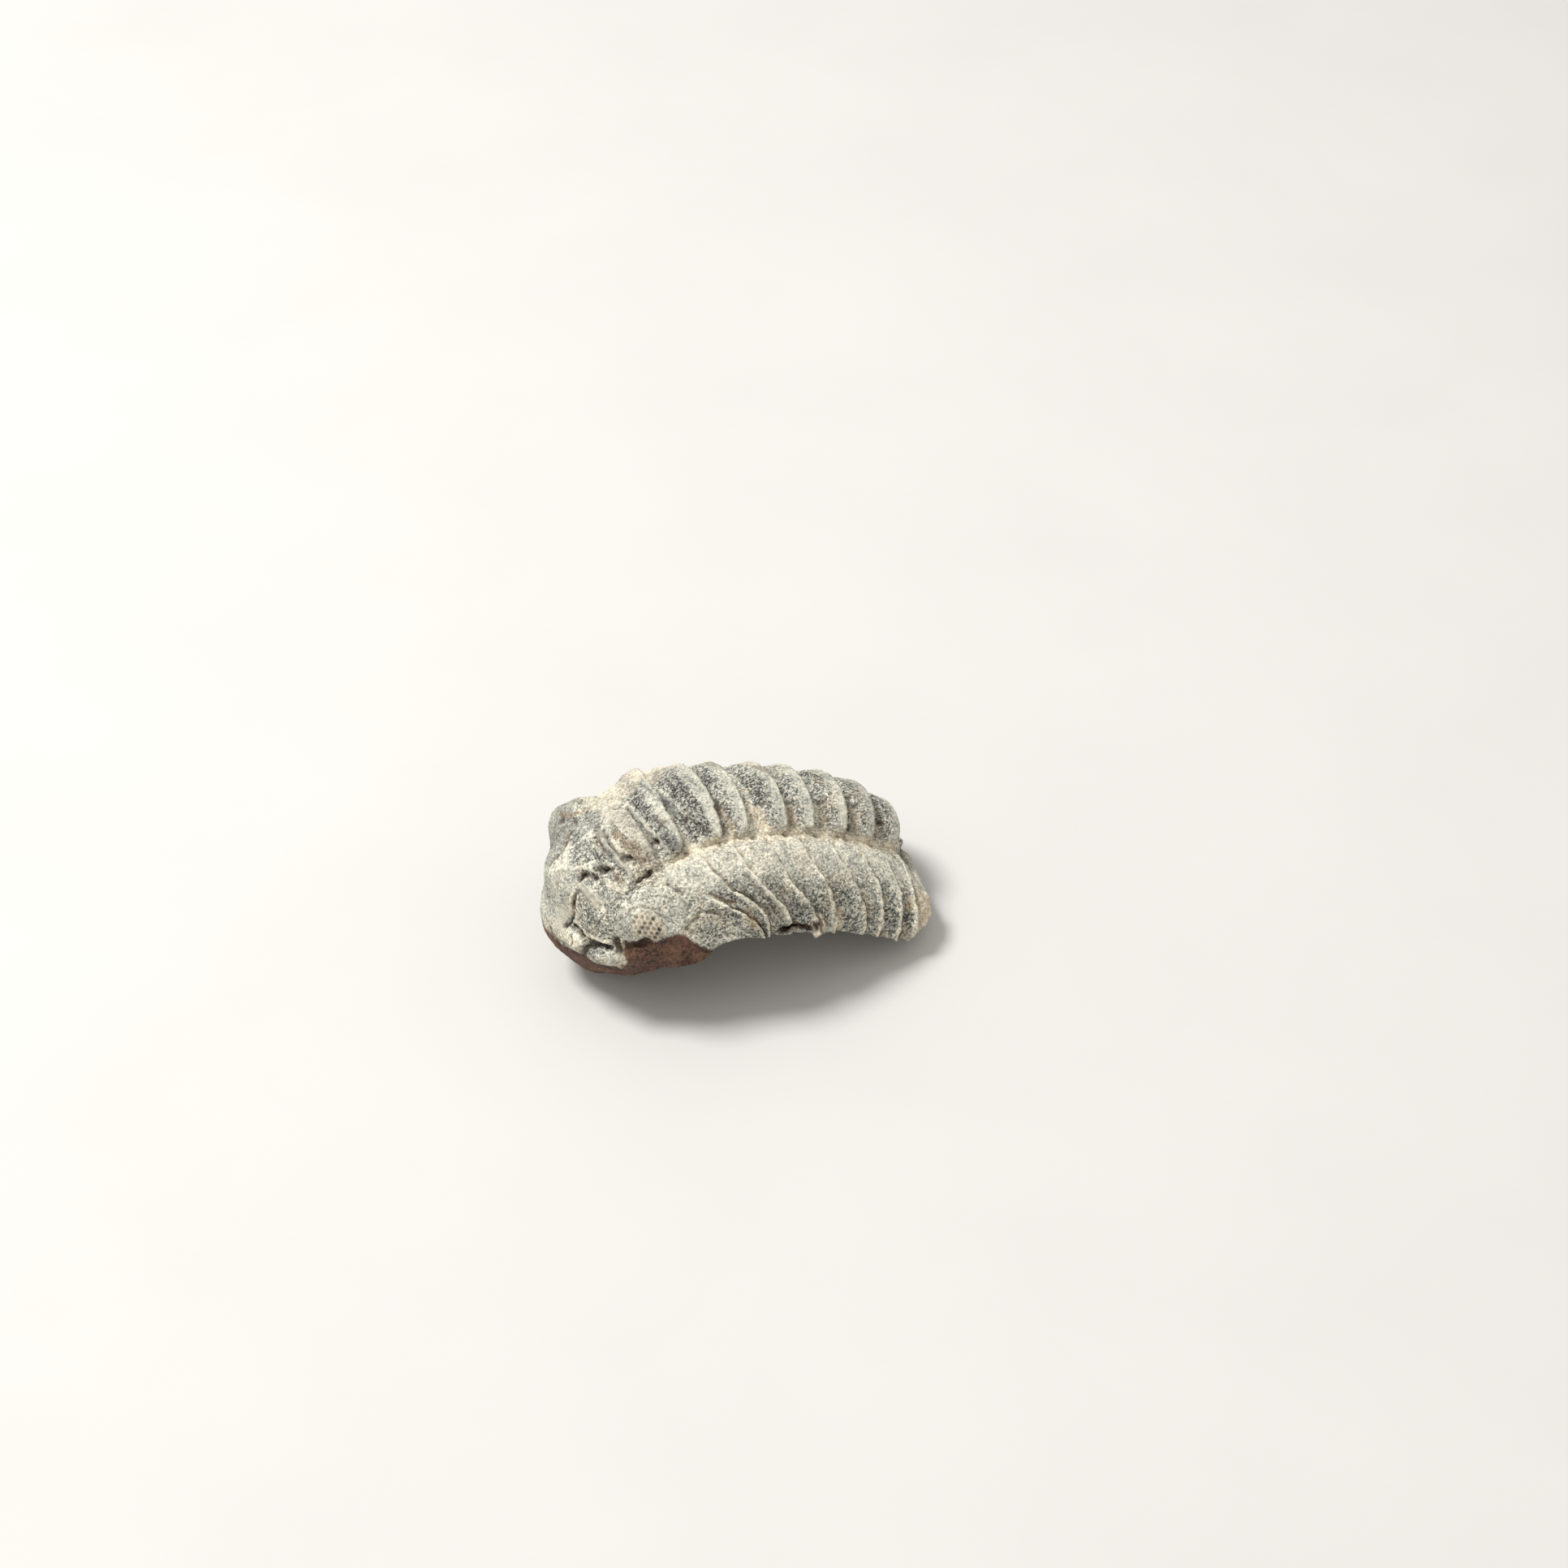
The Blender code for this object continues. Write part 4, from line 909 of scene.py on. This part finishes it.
def limestone(settings):
    """Speckled grey stone, with dust, sediment, cracks and broken faces from the layers, and the
    painted shade and painted highlights that the layers carry.
    """
    n = Nodes("weathered_limestone")
    per_metre = 1 / settings.grain_size
    cells = n.add("ShaderNodeTexVoronoi", Scale=per_metre)
    n.put(n.where, cells.inputs["Vector"])
    split = n.add("ShaderNodeSeparateColor")
    n.put(cells.outputs["Color"], split.inputs[0])
    fine = n.noise(per_metre * 1.1, 3.0, 0.65)
    broad = n.noise(BROAD, 3.0, 0.6)
    # Salt and pepper grains, calmer where the stone is worn smooth
    speckle = n.scaled(split.outputs[0], 0.46, n.scaled(fine, 0.95, -0.705))
    calm = n.scaled(n.math("MAXIMUM", n.layer("smooth"), n.layer("shaded_facet")), -0.6, 1.0)
    calm = n.scaled(n.layer("pale"), -0.4, calm)
    mottle = n.scaled(n.noise(MOTTLE), 0.16, -0.08)
    speckle = n.math("ADD", speckle, mottle)
    tone = n.scaled(speckle, calm, n.scaled(broad, 0.45, 0.285))
    tone = n.scaled(n.layer("pale"), 0.2, tone)
    tone = n.scaled(n.layer("dark"), -0.24, tone)
    ramp = n.add("ShaderNodeValToRGB")
    n.put(tone, ramp.inputs[0])
    stops = ramp.color_ramp.elements
    stops[0].position, stops[0].color = 0.12, (*settings.dark_grain, 1)
    stops[1].position, stops[1].color = 0.88, (*settings.pale_grain, 1)
    for position, colour in ((0.36, settings.slate), (0.56, settings.stone)):
        stops.new(position).color = (*colour, 1)
    colour = ramp.outputs[0]
    patchy = n.range(n.noise(PATCHES, 3.0, 0.6), 0.38, 0.62)
    shade = n.range(fine, 0.3, 0.7, 0.75, 1.25)
    glint = n.range(n.math("ADD", speckle, n.scaled(broad, 0.8, -0.4)), -0.3, 0.4, 0.1, 3.4)
    # Each layer's colour, strength and shading, and how much of it is left where it is thin
    for name, tint, amount, shading, thinnest in (
        # broken faces: partly broken rock, partly painted shade and painted warm reflected light
        ("shaded_facet", settings.shaded_broken_stone, 0.96, glint, None),
        ("ochre", settings.ochre, 0.75, shade, 0.25),
        ("brown", settings.brown, 0.9, shade, 0.6),
        # black: painted shade, near black, deep in cracks, pits, undercuts and hollows
        ("black", settings.crack_shade, 1.0, shade, None),
    ):
        strength = n.math("MULTIPLY", n.layer(name), amount)
        if thinnest is not None:
            strength = n.math("MULTIPLY", strength, n.range(patchy, 0, 1, thinnest, 1.0))
        colour = n.mix(strength, colour, n.mix(1.0, (*tint, 1), shading, "MULTIPLY"))
    n.put(colour, n.shader.inputs["Base Color"])
    rough = n.range(fine, 0.3, 0.7, settings.roughness - 0.08, settings.roughness + 0.06)
    rough = n.scaled(n.layer("smooth"), -0.18, rough)
    rough = n.scaled(n.layer("shaded_facet"), -0.22, rough)
    n.put(rough, n.shader.inputs["Roughness"])
    n.shader.inputs["Specular IOR Level"].default_value = 0.22
    bump = n.add("ShaderNodeBump", Strength=0.6, Distance=RELIEF_OF_GRAINS)
    n.put(n.scaled(cells.outputs["Distance"], -0.4, fine), bump.inputs["Height"])
    n.put(bump.outputs[0], n.shader.inputs["Normal"])
    return n.material


def floor_material(settings):
    """Plain pale floor, a little darker in patches."""
    n = Nodes("studio_floor")
    patches = n.range(n.noise(FLOOR_PATCHES, 4.0), 0.3, 0.7)
    darker = tuple(value * 0.97 for value in settings.floor_colour)
    colour = n.mix(patches, (*settings.floor_colour, 1), (*darker, 1))
    n.put(colour, n.shader.inputs["Base Color"])
    n.shader.inputs["Roughness"].default_value = 0.85
    return n.material


# Settings


def colour_setting(name, description, value):
    return bpy.props.FloatVectorProperty(
        name=name, description=description, default=value, subtype="COLOR", size=3, min=0, max=1
    )


def count_setting(name, description, value):
    return bpy.props.IntProperty(
        name=name, description=description, default=value, min=40, max=value
    )


def length_setting(name, description, value, high, low=0.0):
    return bpy.props.FloatProperty(
        name=name, description=description, default=value, min=low, max=high, precision=6,
        subtype="DISTANCE", unit="LENGTH",
    )


class FossilSettings(bpy.types.PropertyGroup):
    """Sizes and colours of the fossil"""

    rows: count_setting("Rows", "Rows of points from snout to tail", 312)
    columns: count_setting("Columns", "Columns of points around the body", 318)
    grain_height: length_setting("Grain height", "Height of the grain", 0.045 * MM, 0.2 * MM)
    crumb_height: length_setting("Crumb height", "Height of the crumbs", 0.10 * MM, 0.4 * MM)
    grain_size: length_setting("Grain size", "Width of a grain", 0.115 * MM, MM, 0.05 * MM)
    roughness: bpy.props.FloatProperty(
        name="Roughness", description="Roughness of the stone", default=0.86, min=0, max=0.94,
        subtype="FACTOR",
    )
    stone: colour_setting("Stone", "Colour of the stone between its grains", (0.40, 0.39, 0.325))
    slate: colour_setting("Slate", "Colour of the blue-grey parts", (0.17, 0.171, 0.150))
    dark_grain: colour_setting("Dark grains", "Darkest grains", (0.026, 0.025, 0.021))
    pale_grain: colour_setting("Pale grains", "Palest grains and dust", (0.84, 0.78, 0.61))
    # painted shade and painted warm reflected light in the colour of the broken faces
    shaded_broken_stone: colour_setting("Broken stone", "Broken brown faces", (0.05, 0.02, 0.012))
    ochre: colour_setting("Ochre", "Yellow sediment", (0.52, 0.33, 0.15))
    # brown also stands for painted shade in pits, in hollows and behind the ring and plate edges
    brown: colour_setting("Brown", "Brown sediment", (0.105, 0.058, 0.03))
    # painted shade: the near-black colour of the black layer, standing for the shade deep in
    # cracks, pits and hollows
    crack_shade: colour_setting("Cracks", "Colour deep in the cracks", (0.02, 0.012, 0.008))


class StageSettings(bpy.types.PropertyGroup):
    """Floor and lights"""

    floor_size: bpy.props.FloatProperty(
        name="Floor size", description="Side of the floor", default=6.0, min=0.1,
        subtype="DISTANCE", unit="LENGTH",
    )
    floor_colour: colour_setting("Floor", "Colour of the floor", (0.50, 0.49, 0.47))
    key_power: bpy.props.FloatProperty(
        name="Key light", description="Power of the main soft light", default=2.3, min=0,
        unit="POWER",
    )
    sky_strength: bpy.props.FloatProperty(
        name="Room light", description="Strength of the room's even light", default=0.86, min=0
    )


# Stage, in metres and degrees: the camera looks down on the near side of the fossil
CAMERA_PLACE, CAMERA_TURN = (-0.06141, -0.12808, 0.1359), (48.7, 0, -27)
LENS, SENSOR, CLIP = 71.93, 36.0, (0.005, 20.0)
KEY_PLACE, KEY_AIM, KEY_SIZE = (-0.17, 0.13, 0.38), (0, 0, 0.005), 0.15
SKY_COLOUR = (1.0, 0.985, 0.96, 1)

# Operators


def add_object(scene, name, data):
    thing = bpy.data.objects.new(name, data)
    scene.collection.objects.link(thing)
    return thing


class FOSSIL_OT_body(bpy.types.Operator):
    """Builds the fossil with its rings, side plates, head and rock"""

    bl_idname = "fossil.body"
    bl_label = "Fossil body"

    def execute(self, context):
        settings = context.scene.fossil
        fossil = add_object(context.scene, "fossil_body", body_mesh(settings))
        fossil.data.materials.append(limestone(settings))
        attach(fossil, "root")
        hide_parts(NODE)
        return {"FINISHED"}


def add_floor(scene):
    bm = bmesh.new()
    bmesh.ops.create_grid(bm, x_segments=2, y_segments=2, size=scene.stage.floor_size / 2)
    mesh = bpy.data.meshes.new("floor")
    bm.to_mesh(mesh)
    bm.free()
    mesh.materials.append(floor_material(scene.stage))
    floor = add_object(scene, "floor", mesh)


def add_lights(scene):
    light = bpy.data.lights.new("key_light", "AREA")
    light.shape, light.size = "DISK", KEY_SIZE
    light.energy = scene.stage.key_power
    key = add_object(scene, "key_light", light)
    key.location = KEY_PLACE
    key.rotation_euler = (Vector(KEY_AIM) - key.location).to_track_quat("-Z", "Y").to_euler()
    world = bpy.data.worlds.new("room")
    world.use_nodes = True
    background = world.node_tree.nodes["Background"]
    background.inputs["Color"].default_value = SKY_COLOUR
    background.inputs["Strength"].default_value = scene.stage.sky_strength
    scene.world = world


def add_camera(scene):
    camera = bpy.data.cameras.new("camera")
    camera.lens, camera.sensor_width = LENS, SENSOR
    camera.clip_start, camera.clip_end = CLIP
    eye = add_object(scene, "camera", camera)
    eye.location = CAMERA_PLACE
    eye.rotation_euler = [math.radians(angle) for angle in CAMERA_TURN]
    scene.camera = eye


class FOSSIL_OT_stage(bpy.types.Operator):
    """Builds the floor, the lights and the camera"""

    bl_idname = "fossil.stage"
    bl_label = "Studio stage"

    def execute(self, context):
        add_floor(context.scene)
        add_lights(context.scene)
        add_camera(context.scene)
        context.scene.view_settings.view_transform = "Standard"
        return {"FINISHED"}


class FOSSIL_PT_panel(bpy.types.Panel):
    bl_idname = "FOSSIL_PT_panel"
    bl_label = "Trilobite fossil"
    bl_space_type = "VIEW_3D"
    bl_region_type = "UI"
    bl_category = "Fossil"

    def draw(self, context):
        for group in (context.scene.fossil, context.scene.stage):
            box = self.layout.box()
            for name in group.__annotations__:
                box.prop(group, name)
        for operator in OPERATORS:
            self.layout.operator(operator.bl_idname)


OPERATORS = (FOSSIL_OT_body, FOSSIL_OT_stage)
CLASSES = (FossilSettings, StageSettings, *OPERATORS, FOSSIL_PT_panel)


def register():
    for cls in CLASSES:
        bpy.utils.register_class(cls)
    bpy.types.Scene.fossil = bpy.props.PointerProperty(type=FossilSettings)
    bpy.types.Scene.stage = bpy.props.PointerProperty(type=StageSettings)


def unregister():
    del bpy.types.Scene.stage
    del bpy.types.Scene.fossil
    for cls in reversed(CLASSES):
        bpy.utils.unregister_class(cls)


def main():
    register()
    bpy.ops.fossil.body()
    bpy.ops.fossil.stage()


if __name__ == "__main__":
    main()
